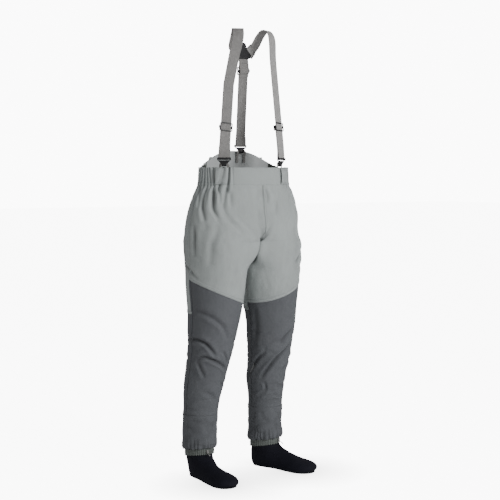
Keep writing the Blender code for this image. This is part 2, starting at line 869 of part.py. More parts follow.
def adjuster_frame(name, clip):
    """The middle of an adjuster on the strap's straight stretch."""
    top, bottom, _, frame = straight_run(name, clip)
    share = (ADJUSTER_Z[name] - top.z) / (bottom.z - top.z)
    frame.translation = top.lerp(bottom, share)
    return frame


def make_back_strap(clip):
    """From the yoke down, round the bar of the back clip and sewn to itself.

    The tail is a short end of webbing sewn over the back adjuster's bar.
    """
    lower = lower_frames("back", clip)
    head = [
        axes(Vector((LEAN, YOKE_Y, YOKE_Z + rise)), Vector((-1, 0, 0)), Vector((0, 0, 1)))
        for rise in (-0.0080, -0.0125)
    ]
    under = path_frames(clip, wrap_path(LOOP_R))
    back = []
    for frame, behind in zip(lower[::-1][1:3], (0.0042, 0.0024)):
        raised = frame.copy()
        raised.translation = frame @ Vector((0, behind, 0))
        back.append(raised)
    ribbon("back_strap", head + lower + under + back, STRAP_WIDTH, MATERIALS["webbing"])
    adjuster = adjuster_frame("back", clip)
    over_bar = -(LAYER + 2 * LOOP_R)
    tail = [(-LAYER, 0.024), (-0.0032, 0.013), (over_bar, 0.003), (over_bar, -0.003)]
    tail += [(-0.0032, -0.013), (-LAYER, -0.022)]
    webbing = MATERIALS["webbing"]
    made = ribbon("back_strap_tail", path_frames(adjuster, tail), STRAP_WIDTH, webbing)
    move_origin(made, adjuster.translation)


def rounded_box(half_x, half_z, radius):
    """The outline of a rectangle with round corners, as (x, z) points."""
    corner = 4
    points = []
    for quarter in range(4):
        sign_x = 1 if quarter in (0, 3) else -1
        sign_z = 1 if quarter in (0, 1) else -1
        for i in range(corner + 1):
            angle = math.pi / 2 * (quarter + i / corner)
            points.append(
                (
                    sign_x * (half_x - radius) + radius * math.cos(angle),
                    sign_z * (half_z - radius) + radius * math.sin(angle),
                )
            )
    return points


# Local Y of a flat plate's outline runs up a strap's frame.
UPRIGHT = Matrix.Rotation(math.pi / 2, 4, "X")


def cylinder_between(name, start, end, radius):
    mesh = bpy.data.meshes.new(name)
    shape = bmesh.new()
    length = (end - start).length
    bmesh.ops.create_cone(
        shape, cap_ends=True, segments=12, radius1=radius, radius2=radius, depth=length
    )
    turn = (end - start).to_track_quat("Z", "Y").to_matrix().to_4x4()
    bmesh.ops.transform(shape, matrix=Matrix.Translation((start + end) / 2) @ turn, verts=shape.verts)
    shape.to_mesh(mesh)
    shape.free()
    made = bpy.data.objects.new(name, mesh)
    COLLECTION.objects.link(made)
    return made


def box(name, low, high):
    """A plain box between two corners."""
    mesh = bpy.data.meshes.new(name)
    shape = bmesh.new()
    bmesh.ops.create_cube(shape, size=1.0)
    size = [b - a for a, b in zip(low, high)]
    centre = [(a + b) / 2 for a, b in zip(low, high)]
    move = Matrix.Translation(centre) @ Matrix.Diagonal((*size, 1))
    bmesh.ops.transform(shape, matrix=move, verts=shape.verts)
    shape.to_mesh(mesh)
    shape.free()
    made = bpy.data.objects.new(name, mesh)
    COLLECTION.objects.link(made)
    return made


def stand_upright(made, y):
    """Turns a flat plate's mesh so that its outline stands in X and Z."""
    made.data.transform(Matrix.Translation((0, y, 0)) @ UPRIGHT @ made.matrix_world)
    made.matrix_world = Matrix.Identity(4)


def make_adjuster(name, frame):
    """A tri-glide: a frame before the strap and a centre bar behind it."""
    plastic = MATERIALS["plastic"]
    half_x, half_z, rail = 0.0222, 0.0140, 0.0024
    window = STRAP_WIDTH / 2 + 0.0006
    face = STRAP / 2 + 0.0004
    depth = 0.0024
    outlines = [rounded_box(half_x, half_z, 0.004), rounded_box(window, half_z - 0.0034, 0.001)]
    ring = flat_plate(f"{name}_adjuster", outlines, depth, plastic, smooth_outline=False)
    stand_upright(ring, -(face + depth / 2))
    bar_y = LAYER + BAR_R + 0.0004 + STRAP / 2
    pieces = [
        box(
            "rail",
            (min(s * window, s * (window + rail)), -(face + depth * 0.6), -0.0045),
            (max(s * window, s * (window + rail)), bar_y + BAR_R, 0.0045),
        )
        for s in (-1, 1)
    ]
    reach = window + rail * 0.5
    pieces.append(
        cylinder_between("bar", Vector((-reach, bar_y, 0)), Vector((reach, bar_y, 0)), BAR_R)
    )
    combine(ring, pieces)
    finish_joined(ring, plastic, frame)


def finish_joined(made, material, frame):
    made.data.materials.clear()
    made.data.materials.append(material)
    made.data.shade_smooth()
    made.data.set_sharp_from_angle(angle=math.radians(40))
    made.matrix_world = frame


def make_clip(name, frame):
    """A triangular clip: a bar for the webbing and a wide hook below it."""
    plastic = MATERIALS["plastic"]
    half, slot, thick = CLIP_WIDTH / 2, STRAP_WIDTH / 2 + 0.0006, 0.0030
    right_half = [
        (slot, 0.0015),
        (half, 0.0015),
        (half, -0.0050),
        (0.0100, -0.0165),
        (HOOK_WIDTH / 2, -0.0180),
    ]
    slot_floor = [(-slot, -0.0060), (slot, -0.0060)]
    outline = slot_floor + right_half + [(-x, z) for x, z in right_half[::-1]]
    plate = flat_plate(f"{name}_clip", [outline], thick, plastic, smooth_outline=False)
    stand_upright(plate, 0.0)
    # The hook's profile: a J that opens upwards on the wearer's side.
    inner_r, outer_r, bend = 0.0032, 0.0062, (0.0047, -0.0193)
    profile = [(-0.0015, -0.0120), (0.0015, -0.0120)]
    profile += [
        (bend[0] - inner_r * math.cos(math.pi * i / 6), bend[1] - inner_r * math.sin(math.pi * i / 6))
        for i in range(7)
    ]
    profile += [(0.0079, -0.0125), (0.0094, -0.0110), (0.0109, -0.0122)]
    profile += [
        (bend[0] + outer_r * math.cos(math.pi * i / 8), bend[1] - outer_r * math.sin(math.pi * i / 8))
        for i in range(9)
    ]
    hook = flat_plate("hook", [profile], HOOK_WIDTH, plastic, smooth_outline=False)
    # The profile's X becomes the clip's Y, and its Y the clip's Z.
    turn = Matrix(((0, 0, 1, 0), (1, 0, 0, 0), (0, 1, 0, 0), (0, 0, 0, 1)))
    hook.data.transform(turn @ hook.matrix_world)
    hook.matrix_world = Matrix.Identity(4)
    reach = (slot + half) / 2
    bar = cylinder_between("bar", Vector((-reach, 0, 0)), Vector((reach, 0, 0)), BAR_R)
    # A cover crosses before the webbing, between a cheek at each end.
    near = -(LOOP_R + STRAP / 2 + 0.0006)
    far, low, high = near - 0.0012, -0.0048, 0.0028
    cheeks = [
        box("cheek", (min(s * slot, s * half), far, low), (max(s * slot, s * half), 0.001, 0.0014))
        for s in (-1, 1)
    ]
    cover = box("cover", (-half, far, low), (half, near, high))
    combine(plate, [hook, bar, cover, *cheeks])
    finish_joined(plate, plastic, frame)


def make_clip_loop(name, frame):
    """A webbing loop sewn inside the waistband that the clip hooks into."""
    spread, corner, top = 0.0130, 0.0045, -0.0178
    tip = [(-spread, top - 0.040), (-spread, top - 0.026), (-spread, top - 0.014)]
    for i in range(5):
        angle = math.pi / 2 * i / 4
        tip.append(
            (-spread + corner * (1 - math.cos(angle)), top - corner * (1 - math.sin(angle)))
        )
    tip += [(-x, z) for x, z in tip[::-1]]
    lean = 0.0056 if name == "back" else 0.0
    width, depth = 0.0076, 0.0059
    rows = []
    for i, (x, z) in enumerate(tip):
        before, after = tip[max(i - 1, 0)], tip[min(i + 1, len(tip) - 1)]
        along = Vector((after[0] - before[0], 0, after[1] - before[1])).normalized()
        across = Vector((along.z, 0, -along.x))
        # Below the hook the loop lies back against the inside of the band.
        y = depth - lean * smoothstep(0.024, 0.036, -z)
        centre = Vector((x, y, z))
        rows.append([frame @ (centre + across * width * k) for k in (-0.5, 0.0, 0.5)])
    sheet(f"{name}_clip_loop", rows, MATERIALS["webbing"], 0.0012, offset=0.0)


def make_yoke():
    """The triangular patches that hold the three straps between them."""
    outline = [(0.0, 0.0450), (-0.0150, 0.0190), (-0.0290, -0.0020), (0.0, -0.0090), (0.0290, -0.0020)]
    outline.append((0.0150, 0.0190))
    thick = 0.0018
    for name, y in (("outer", 1), ("inner", -1)):
        patch = flat_plate(f"{name}_yoke", [outline], thick, MATERIALS["yoke"])
        stand_upright(patch, y * (STRAP / 2 + 0.0004 + thick / 2))
        patch.location = (LEAN, YOKE_Y, YOKE_Z)


# The whole object ---------------------------------------------------------

clear_scene()
COLLECTION = bpy.data.collections.new("waders")
bpy.context.scene.collection.children.link(COLLECTION)
MATERIALS = {
    "light_shell": make_material("light_shell", (0.36, 0.385, 0.38), 0.8),
    "dark_shell": make_material("dark_shell", (0.145, 0.15, 0.158), 0.8),
    "lining": make_material("lining", (0.24, 0.255, 0.255), 0.85),
    "elastic": make_material("elastic", (0.10, 0.11, 0.10), 0.85),
    "seam_tape": make_material("seam_tape", (0.30, 0.31, 0.31), 0.6),
    "webbing": make_material("webbing", (0.30, 0.29, 0.285), 0.8),
    "neoprene": make_material("neoprene", (0.009, 0.009, 0.013), 0.75),
    "sock_sole": make_material("sock_sole", (0.012, 0.012, 0.016), 0.85),
    "plastic": make_material("plastic", (0.015, 0.015, 0.017), 0.4),
    "yoke": make_material("yoke", (0.032, 0.032, 0.034), 0.6),
    "steel": make_material("steel", (0.6, 0.6, 0.58), 0.3, 1.0),
}
make_trousers()
make_waistband()
make_seam_tapes()
make_ankles()
make_braces()
stand_on_footprint()
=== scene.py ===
"""Looks for the wading trousers: fabric, socks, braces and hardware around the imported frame.

Frame: metres, +Z up, the wearer faces -Y and +X is the wearer's left.
"""

import math

import bmesh
import bpy
import numpy as np
from mathutils import Matrix, Vector, noise


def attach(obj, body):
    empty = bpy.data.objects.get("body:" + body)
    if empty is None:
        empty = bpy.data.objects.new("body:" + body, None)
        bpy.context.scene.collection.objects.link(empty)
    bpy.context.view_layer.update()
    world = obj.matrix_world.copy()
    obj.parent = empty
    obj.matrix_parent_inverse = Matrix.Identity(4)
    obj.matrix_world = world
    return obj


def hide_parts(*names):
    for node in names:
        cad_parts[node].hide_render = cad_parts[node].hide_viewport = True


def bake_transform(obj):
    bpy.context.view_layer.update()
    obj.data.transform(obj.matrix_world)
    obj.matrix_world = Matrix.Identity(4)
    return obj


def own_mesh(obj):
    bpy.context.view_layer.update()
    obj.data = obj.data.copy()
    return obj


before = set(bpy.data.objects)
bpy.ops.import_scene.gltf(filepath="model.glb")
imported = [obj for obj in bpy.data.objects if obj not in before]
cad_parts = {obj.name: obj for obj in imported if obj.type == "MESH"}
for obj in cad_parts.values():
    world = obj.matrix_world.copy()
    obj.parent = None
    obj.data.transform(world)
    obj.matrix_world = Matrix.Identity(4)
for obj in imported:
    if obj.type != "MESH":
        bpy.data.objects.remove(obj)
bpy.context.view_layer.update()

# The CAD part's design, repeated ------------------------------------------
RIM_Z, BACK_RISE, BAND_Z = 1.033, 0.057, 0.976
CROTCH_Z, GUARD_TOP_Z, CALF_Z = 0.79, 0.215, 0.556
ANKLE_X, ANKLE_Y = 0.135, 0.062
GAP, NEOPRENE, SOLE = 0.0003, 0.004, 0.0036
AROUND = 0.55  # metres round a leg for a share of 1, about
CLOTH, SEAM_ALLOWANCE = 0.0009, 1.02  # thickness, and cut area for each part that shows
GATHER_LEAD, GATHER_LEAN, GATHER_FADE, BACK_FADE = 16, 8, 9, 8  # degrees
FACING_OVERLAP = 4  # degrees that each facing runs on behind the side bands
TOE_OUT = {"right": math.radians(-4), "left": math.radians(22)}
SIDES = {"right": -1, "left": 1}
FOOTPRINT = np.array((-0.01008, 0.00997, 0.0))
WAIST_TWIST = math.radians(-7.5)
PANEL_TURN, BACK_TURN = 50, 130
LOOP_TURNS = {"front": 45, "back": 148}
LOOP_WIDTH, LOOP_RADIUS, WAIST_RADIUS = 0.036, 0.145, 0.14
STRAP_WIDTH, STRAP, BAR_R = 0.038, 0.0016, 0.0019
LOOP_R = BAR_R + 0.0004 + STRAP / 2
LAYER = STRAP + 0.0005
WIRE_R, TAB, HOOK_Z = 0.0009, 0.0010, 0.0905
CLIP_TURN, CLIP_Z = 41, 1.0615
BACK_CLIP_TURN, BACK_CLIP_Z = 166, 1.1075
BRACES_TOP_Z, LEAN = 1.486, 0.016
YOKE_Y, YOKE_Z, YOKE_SPREAD = 0.020, 1.403, 38
STRAP_HEAD = {"right": (-0.0948, -0.0555, 1.300), "left": (0.0918, -0.0555, 1.300)}
STRAP_FACING = {"right": -8, "left": 20}
ADJUSTER_Z = {"right": 1.163, "left": 1.167, "back": 1.355}
SEAT = [
    (1.100, 0.163, 0.106, 0.081),
    (1.033, 0.165, 0.108, 0.083),
    (0.976, 0.170, 0.110, 0.087),
    (0.940, 0.186, 0.114, 0.098),
    (0.900, 0.199, 0.118, 0.109),
    (0.850, 0.207, 0.122, 0.118),
    (0.790, 0.213, 0.125, 0.122),
]
LEG = [
    (0.790, 0.1072, 0.002, 0.1068, 0.119),
    (0.700, 0.1085, 0.002, 0.1030, 0.109),
    (0.600, 0.1120, 0.001, 0.0940, 0.098),
    (0.540, 0.1150, 0.003, 0.0870, 0.090),
    (0.430, 0.1210, 0.018, 0.0760, 0.079),
    (0.320, 0.1280, 0.042, 0.0670, 0.069),
    (0.215, 0.1330, 0.059, 0.0590, 0.061),
    (0.100, 0.1350, 0.062, 0.0570, 0.059),
]
SOCK = [
    (0.050, 0.128, -0.050, 0.128, 0.0445),
    (0.050, 0.100, -0.050, 0.094, 0.0445),
    (0.0515, 0.083, -0.050, 0.066, 0.0435),
    (0.063, 0.073, -0.0520, 0.042, 0.0395),
    (0.081, 0.064, -0.0520, 0.020, 0.0365),
    (0.098, 0.057, -0.046, 0.001, 0.0350),
    (0.115, 0.052, -0.026, -0.014, 0.0350),
    (0.135, 0.046, 0.030, -0.018, 0.0400),
    (0.155, 0.042, 0.085, -0.018, 0.0460),
    (0.174, 0.038, 0.130, -0.016, 0.0470),
    (0.190, 0.033, 0.166, -0.010, 0.0410),
    (0.200, 0.026, 0.190, 0.000, 0.0290),
    (0.206, 0.018, 0.205, 0.012, 0.0100),
]


def between(table, height):
    """The table's columns at an array of heights, smoothly between its rows."""
    rows = np.array(table, float)[::-1]
    z, values = rows[:, 0], rows[:, 1:]
    below, above = np.vstack([rows[:1], rows[:-1]]), np.vstack([rows[1:], rows[-1:]])
    slope = (above[:, 1:] - below[:, 1:]) / (above[:, :1] - below[:, :1])
    h = np.clip(np.asarray(height, float), z[0], z[-1])
    i = np.clip(np.searchsorted(z, h, side="right") - 1, 0, len(z) - 2)
    span = (z[i + 1] - z[i])[..., None]
    t = (h - z[i])[..., None] / span
    found = (2 * t**3 - 3 * t**2 + 1) * values[i] + (t**3 - 2 * t**2 + t) * span * slope[i]
    found = found + (3 * t**2 - 2 * t**3) * values[i + 1] + (t**3 - t**2) * span * slope[i + 1]
    return np.moveaxis(found, -1, 0)


def smoothstep(low, high, value):
    t = np.clip((np.asarray(value, float) - low) / (high - low), 0.0, 1.0)
    return t * t * (3 - 2 * t)


def hill(value, centre, width):
    """A smooth hump: 1 at the centre, and 0.37 a width away from it."""
    return np.exp(-(((value - centre) / width) ** 2))


def wrapped(turn):
    """The same direction as a turn from -pi to pi."""
    return (np.asarray(turn, float) + math.pi) % (2 * math.pi) - math.pi


def running(steps):
    """The distance covered before each step, and after the last one."""
    return np.concatenate([[0], np.cumsum(steps)])


def run_length(points):
    return running(np.linalg.norm(np.diff(points, axis=0), axis=-1))


def curve_through(keys, steps):
    """Points on a smooth curve through the keys, which are vectors of any size."""
    keys = np.array(keys, float)
    found = []
    for i in range(len(keys) - 1):
        p, q, r = keys[max(i - 1, 0)], keys[i], keys[i + 1]
        s = keys[min(i + 2, len(keys) - 1)]
        for step in range(steps):
            t = step / steps
            bend = (2 * p - 5 * q + 4 * r - s) * t * t + (3 * q - p - 3 * r + s) * t**3
            found.append(0.5 * (2 * q + (r - p) * t + bend))
    return np.array(found + [keys[-1]])


def stack(x, y, z):
    return np.stack(np.broadcast_arrays(x, y, z), -1)


def seat_point(turn, height):
    half, front, back = between(SEAT, height)
    depth = np.where(np.abs(turn) <= math.pi / 2, front, back)
    return stack(half * np.sin(turn), -depth * np.cos(turn), height)


def trouser_point(side, share, height):
    """On the CAD surface of one half: share 0 is the front seam, 0.5 the side seam."""
    share, height = np.broadcast_arrays(np.asarray(share, float), np.asarray(height, float))
    middle_x, middle_y, half, depth = between(LEG, np.minimum(height, CROTCH_Z))
    angle = 2 * math.pi * share
    reach = np.cos(angle)
    full = reach * (1 + 0.9 * smoothstep(0.69, CROTCH_Z, height))
    full = np.where(full < 1.2, full - smoothstep(0.8, 1.2, full) * (full - 1), 1.0)
    reach = np.where(reach > 0, full, reach)
    leg = stack(middle_x - half * reach, middle_y - depth * np.sin(angle), height)
    fall = np.clip((BAND_Z - height) / (BAND_Z - CROTCH_Z), 0.0, 1.0)
    weight = fall ** (1.6 + 14.4 * np.abs(np.cos(math.pi * share)) ** 3)
    weight = np.where(height >= CROTCH_Z, weight, 1.0)[..., None]
    near = 0.5 * np.clip(np.minimum(2 * share, 2 - 2 * share), 0, 1) ** 2.4
    drawn = np.where(share < 0.5, near, 1 - near)
    turned = share + (drawn - share) * smoothstep(0.35, 1.0, fall)
    found = seat_point(math.pi * turned, height) * (1 - weight) + leg * weight
    found[..., 0] = SIDES[side] * np.maximum(found[..., 0], GAP)
    return found + FOOTPRINT


def unit(v):
    return v / np.maximum(np.linalg.norm(v, axis=-1, keepdims=True), 1e-12)


def outward(side, share, height):
    share = np.asarray(share, float)
    share = np.where((height > CROTCH_Z) | (share > 0), np.clip(share, 0.004, 0.996), share)
    along = trouser_point(side, share + 0.003, height) - trouser_point(side, share - 0.003, height)
    up = trouser_point(side, share, height + 0.002) - trouser_point(side, share, height - 0.002)
    return unit(np.cross(along, up)) * SIDES[side]


def thigh_seam(share):
    return 0.583 + 0.097 * smoothstep(0.02, 0.62, share) ** 1.15


def rim_height(turn):
    from_front = np.abs(wrapped(turn - WAIST_TWIST))
    return RIM_Z + BACK_RISE * smoothstep(math.radians(106), math.radians(174), from_front)


def band_point(turn, height):
    """A point of the waistband's outer surface and the level normal there."""
    turn = wrapped(turn)
    point = seat_point(turn, height)
    half, front, back = between(SEAT, height)
    depth = np.where(np.abs(turn) <= math.pi / 2, front, back)
    normal = unit(stack(point[..., 0] / half**2, point[..., 1] / depth**2, 0 * half))
    return point + FOOTPRINT, normal


# Materials ----------------------------------------------------------------


def add_node(tree, kind, inputs=(), **settings):
    made = tree.nodes.new(kind)
    for key, value in settings.items():
        setattr(made, key, value)
    for key, value in dict(inputs).items():
        if isinstance(value, bpy.types.NodeSocket):
            tree.links.new(value, made.inputs[key])
        else:
            made.inputs[key].default_value = value
    return made


def shade(colour, factor):
    return (*(min(c * factor, 1.0) for c in colour), 1.0)


def start_material(name, roughness, metallic=0.0, gloss=0.15):
    made = bpy.data.materials.new(name)
    made.use_nodes = True
    shader = made.node_tree.nodes["Principled BSDF"]
    shader.inputs["Metallic"].default_value = metallic
    shader.inputs["Roughness"].default_value = roughness
    shader.inputs["Specular IOR Level"].default_value = gloss
    return made, made.node_tree, shader


def object_place(tree):
    return add_node(tree, "ShaderNodeTexCoord").outputs["Object"]


def cloth_place(tree):
    return add_node(tree, "ShaderNodeUVMap", uv_map="cloth").outputs["UV"]


def cloud(tree, vector, scale, detail=2.0):
    inputs = {"Vector": vector, "Scale": scale, "Detail": detail}
    return add_node(tree, "ShaderNodeTexNoise", inputs).outputs["Fac"]


def patches(tree, vector, colour, scale, contrast):
    """The colour in soft lighter and darker patches."""
    ramp = add_node(tree, "ShaderNodeValToRGB", {"Fac": cloud(tree, vector, scale, 4.0)})
    ends = zip(ramp.color_ramp.elements, (0.35, 0.65), (1 - contrast, 1 + contrast))
    for element, position, factor in ends:
        element.position, element.color = position, shade(colour, factor)
    return ramp.outputs["Color"]


MIX_FACTOR, MIX_A, MIX_B, MIX_RESULT = 0, 6, 7, 2  # a Mix node's sockets for colours


def mixed(tree, mask, colour, other, blend="MIX"):
    mix = add_node(tree, "ShaderNodeMix", data_type="RGBA", blend_type=blend)
    tree.links.new(mask, mix.inputs[MIX_FACTOR])
    tree.links.new(colour, mix.inputs[MIX_A])
    mix.inputs[MIX_B].default_value = (*other, 1.0)
    return mix.outputs[MIX_RESULT]


def darken(tree, colour, mask, factor):
    """The colour times a factor where the mask is 1."""
    return mixed(tree, mask, colour, (factor,) * 3, "MULTIPLY")


def roughness_from(tree, shader, vector, low, high, scale):
    inputs = {"Value": cloud(tree, vector, scale), "To Min": low, "To Max": high}
    spread_out = add_node(tree, "ShaderNodeMapRange", inputs)
    tree.links.new(spread_out.outputs["Result"], shader.inputs["Roughness"])


def bump(tree, shader, height, distance, strength, previous=None):
    inputs = {"Height": height, "Distance": distance, "Strength": strength}
    if previous is not None:
        inputs["Normal"] = previous
    made = add_node(tree, "ShaderNodeBump", inputs)
    tree.links.new(made.outputs["Normal"], shader.inputs["Normal"])
    return made.outputs["Normal"]


def wave(tree, vector, direction, period):
    """Bands across one axis with a period in metres."""
    inputs = {"Vector": vector, "Scale": 2 * math.pi / (20 * period)}
    return add_node(tree, "ShaderNodeTexWave", inputs, bands_direction=direction).outputs["Fac"]


def math_node(tree, operation, a, b=None):
    made = add_node(tree, "ShaderNodeMath", {0: a}, operation=operation)
    if isinstance(b, bpy.types.NodeSocket):
        tree.links.new(b, made.inputs[1])
    elif b is not None:
        made.inputs[1].default_value = b
    return made.outputs[0]


def cloth_material(name, colour, thread, roughness=0.8, contrast=0.05, fold=0.5):
    """Woven fabric on the "cloth" UV map, with painted shade darkening its folds."""
    made, tree, shader = start_material(name, roughness)
    place, cloth = object_place(tree), cloth_place(tree)
    base = patches(tree, place, colour, 7.0, contrast)
    flecks = math_node(tree, "GREATER_THAN", cloud(tree, cloth, 900.0), 0.62)
    base = darken(tree, base, flecks, 0.93)
    # Painted shade: where the "fold" attribute says a point lies deep in a fold, the colour is
    # multiplied by the fold factor.
    depth = add_node(tree, "ShaderNodeAttribute", attribute_name="fold").outputs["Fac"]
    base = darken(tree, base, depth, fold)
    tree.links.new(base, shader.inputs["Base Color"])
    roughness_from(tree, shader, place, roughness - 0.06, roughness + 0.06, 25.0)
    warp, weft = wave(tree, cloth, "X", thread), wave(tree, cloth, "Y", thread)
    weave = math_node(tree, "MAXIMUM", warp, weft)
    ground = bump(tree, shader, weave, 0.0003, 0.35)
    bump(tree, shader, cloud(tree, place, 160.0, 3.0), 0.0008, 0.25, ground)
    return made


def stitched_material(name, colour, thread_colour):
    """A folded seam with two rows of stitches along it."""
    row_places, half_row, stitch_pitch, between_stitches = (-0.0028, 0.0028), 0.0007, 0.0032, 0.25
    made, tree, shader = start_material(name, 0.82)
    base = patches(tree, object_place(tree), colour, 9.0, 0.05)
    split = add_node(tree, "ShaderNodeSeparateXYZ", {"Vector": cloth_place(tree)})
    across, along = split.outputs["X"], split.outputs["Y"]
    near = []
    for place in row_places:
        gap = math_node(tree, "ABSOLUTE", math_node(tree, "SUBTRACT", across, place))
        near.append(math_node(tree, "LESS_THAN", gap, half_row))
    rows = math_node(tree, "MAXIMUM", *near)
    step = math_node(tree, "FRACT", math_node(tree, "DIVIDE", along, stitch_pitch))
    dash = math_node(tree, "GREATER_THAN", step, between_stitches)
    stitch = math_node(tree, "MULTIPLY", rows, dash)
    tree.links.new(mixed(tree, stitch, base, thread_colour), shader.inputs["Base Color"])
    ground = bump(tree, shader, rows, 0.0006, -0.6)
    bump(tree, shader, stitch, 0.0006, 0.8, ground)
    return made


def webbing_material(name, colour):
    """Elastic webbing: fine ribs across, with a twill step, and plain edges."""
    selvedge_width = 0.0022
    made, tree, shader = start_material(name, 0.78)
    cloth = cloth_place(tree)
    base = patches(tree, cloth, colour, 60.0, 0.06)
    ribs, twill = wave(tree, cloth, "Y", 0.0021), wave(tree, cloth, "DIAGONAL", 0.0016)
    weave = math_node(tree, "MAXIMUM", ribs, twill)
    split = add_node(tree, "ShaderNodeSeparateXYZ", {"Vector": cloth})
    edge = math_node(tree, "ABSOLUTE", split.outputs["X"])
    selvedge = math_node(tree, "GREATER_THAN", edge, STRAP_WIDTH / 2 - selvedge_width)
    base = darken(tree, base, selvedge, 0.88)
    base = darken(tree, base, math_node(tree, "LESS_THAN", weave, 0.35), 0.80)
    tree.links.new(base, shader.inputs["Base Color"])
    roughness_from(tree, shader, cloth, 0.70, 0.86, 300.0)
    bump(tree, shader, weave, 0.0006, 0.7)
    return made


def rubber_material(name, colour, roughness, grain, depth):
    made, tree, shader = start_material(name, roughness, gloss=0.1)
    place = object_place(tree)
    base = patches(tree, place, colour, 18.0, 0.16)
    tree.links.new(base, shader.inputs["Base Color"])
    roughness_from(tree, shader, place, roughness - 0.08, roughness + 0.08, 60.0)
    cells = add_node(tree, "ShaderNodeTexVoronoi", {"Vector": place, "Scale": grain})
    bump(tree, shader, cells.outputs["Distance"], depth, 0.5)
    return made


def moulded_material(name, colour, roughness, metallic=0.0):
    """Moulded plastic, or wire: a fine texture, with scuffs that catch the light."""
    made, tree, shader = start_material(name, roughness, metallic, gloss=0.35)
    place = object_place(tree)
    base = patches(tree, place, colour, 120.0, 0.15)
    tree.links.new(base, shader.inputs["Base Color"])
    roughness_from(tree, shader, place, roughness - 0.1, roughness + 0.12, 220.0)
    bump(tree, shader, cloud(tree, place, 1500.0), 0.0002, 0.3)
    return made


LIGHT, DARK = (0.335, 0.362, 0.358), (0.103, 0.108, 0.117)
# The second webbing colour is the first lightened: painted light on the left strap, which faces the
# key light.
WEBBING, PAINTED_LIT_WEBBING = (0.225, 0.220, 0.215), (0.33, 0.325, 0.32)
MATERIALS = {
    # Each cloth's fold factor (0.5 unless given) multiplies its colour deep in folds as painted
    # shade; the cuff's 0.1 is the darkest.
    "light": cloth_material("light_shell_cloth", LIGHT, 0.0007),
    "dark": cloth_material("dark_shell_cloth", DARK, 0.0008, fold=0.66),
    "lining": cloth_material("lining_cloth", (0.44, 0.46, 0.46), 0.0009, 0.85),
    "elastic": cloth_material("ruched_elastic", (0.085, 0.095, 0.088), 0.0012, 0.85),
    "cuff": cloth_material("cuff_elastic", (0.15, 0.165, 0.155), 0.0012, 0.85, 0.1),
    "tape": cloth_material("bonded_tape", (0.26, 0.27, 0.27), 0.0015, 0.55),
    "light_seam": stitched_material("light_felled_seam", LIGHT, (0.25, 0.27, 0.268)),
    "dark_seam": stitched_material("dark_felled_seam", DARK, (0.13, 0.137, 0.145)),
    "webbing": webbing_material("braces_webbing", WEBBING),
    "painted_lit_webbing": webbing_material("left_braces_painted_light", PAINTED_LIT_WEBBING),
    "neoprene": rubber_material("neoprene_jersey", (0.0095, 0.0095, 0.0150), 0.8, 1500.0, 0.0002),
    "sole": rubber_material("sole_tread", (0.010, 0.010, 0.013), 0.85, 420.0, 0.0008),
    "plastic": moulded_material("moulded_plastic", (0.012, 0.012, 0.014), 0.42),
    "yoke": rubber_material("yoke_patch", (0.026, 0.026, 0.028), 0.6, 900.0, 0.0003),
    "steel": moulded_material("steel_wire", (0.55, 0.55, 0.54), 0.32, 1.0),
    "thread": moulded_material("sewing_thread", (0.085, 0.085, 0.088), 0.7),
}

# Meshes -------------------------------------------------------------------


def link(name, data):
    made = bpy.data.objects.new(name, data)
    bpy.context.scene.collection.objects.link(made)
    return made


def new_object(name, mesh, material):
    made = link(name, mesh)
    mesh.materials.clear()
    mesh.materials.append(MATERIALS[material])
    mesh.shade_smooth()
    return made


def grid_object(name, points, material, thickness, offset=-1.0, uv=None, fold=None, closed=False):
    """A sheet of fabric through a grid of points whose rows run downwards."""
    points = np.asarray(points, float)
    rows, columns = points.shape[:2]
    number = np.arange(rows * columns).reshape(rows, columns)
    following = np.roll(number, -1, axis=1) if closed else number[:, 1:]
    here = number if closed else number[:, :-1]
    corners = [here[:-1], here[1:], following[1:], following[:-1]]
    faces = np.stack(corners, -1).reshape(-1, 4)
    mesh = bpy.data.meshes.new(name)
    mesh.from_pydata(points.reshape(-1, 3).tolist(), [], faces.tolist())
    if uv is None:
        down, out = (
            running(np.linalg.norm(np.diff(points, axis=axis), axis=-1).mean(1 - axis))
            for axis in (0, 1)
        )
        uv = stack(out[None, :], down[:, None], 0.0)[..., :2]
    flat = np.asarray(uv, float).reshape(-1, 2)[faces.ravel()]
    mesh.uv_layers.new(name="cloth").data.foreach_set("uv", flat.astype(np.float32).ravel())
    # Fold depth for each point, which the cloth materials turn into painted shade.
    depth = np.zeros(rows * columns) if fold is None else np.clip(fold, 0, 1).ravel()
    stored = mesh.attributes.new("fold", "FLOAT", "POINT")
    stored.data.foreach_set("value", depth.astype(np.float32))
    made = new_object(name, mesh, material)
    solid = made.modifiers.new("thickness", "SOLIDIFY")
    solid.thickness, solid.offset = thickness, offset
    return made


def soften(made, width, segments=2, angle=35):
    step = made.modifiers.new("soft_edges", "BEVEL")
    step.width, step.segments = width, segments
    step.limit_method, step.angle_limit = "ANGLE", math.radians(angle)


def place_piece(made, body, slot, *nodes):
    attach(made, body)
    if nodes:
        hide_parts(*nodes)


def facing_out(side, *grids):
    """The grids, with the right side's columns turned round so its faces look outwards."""
    return [grid[:, ::-1] for grid in grids] if side == "right" else grids


def noise_at(points, scale, seed):
    """Smooth noise from -1 to 1 at points stretched by a scale for each axis."""
    flat = points.reshape(-1, 3) * np.array(scale) + np.array((seed * 7.3, seed * 3.1, seed))
    values = [noise.noise(Vector(p)) for p in flat.tolist()]
    return np.array(values).reshape(points.shape[:-1])


# Folds --------------------------------------------------------------------

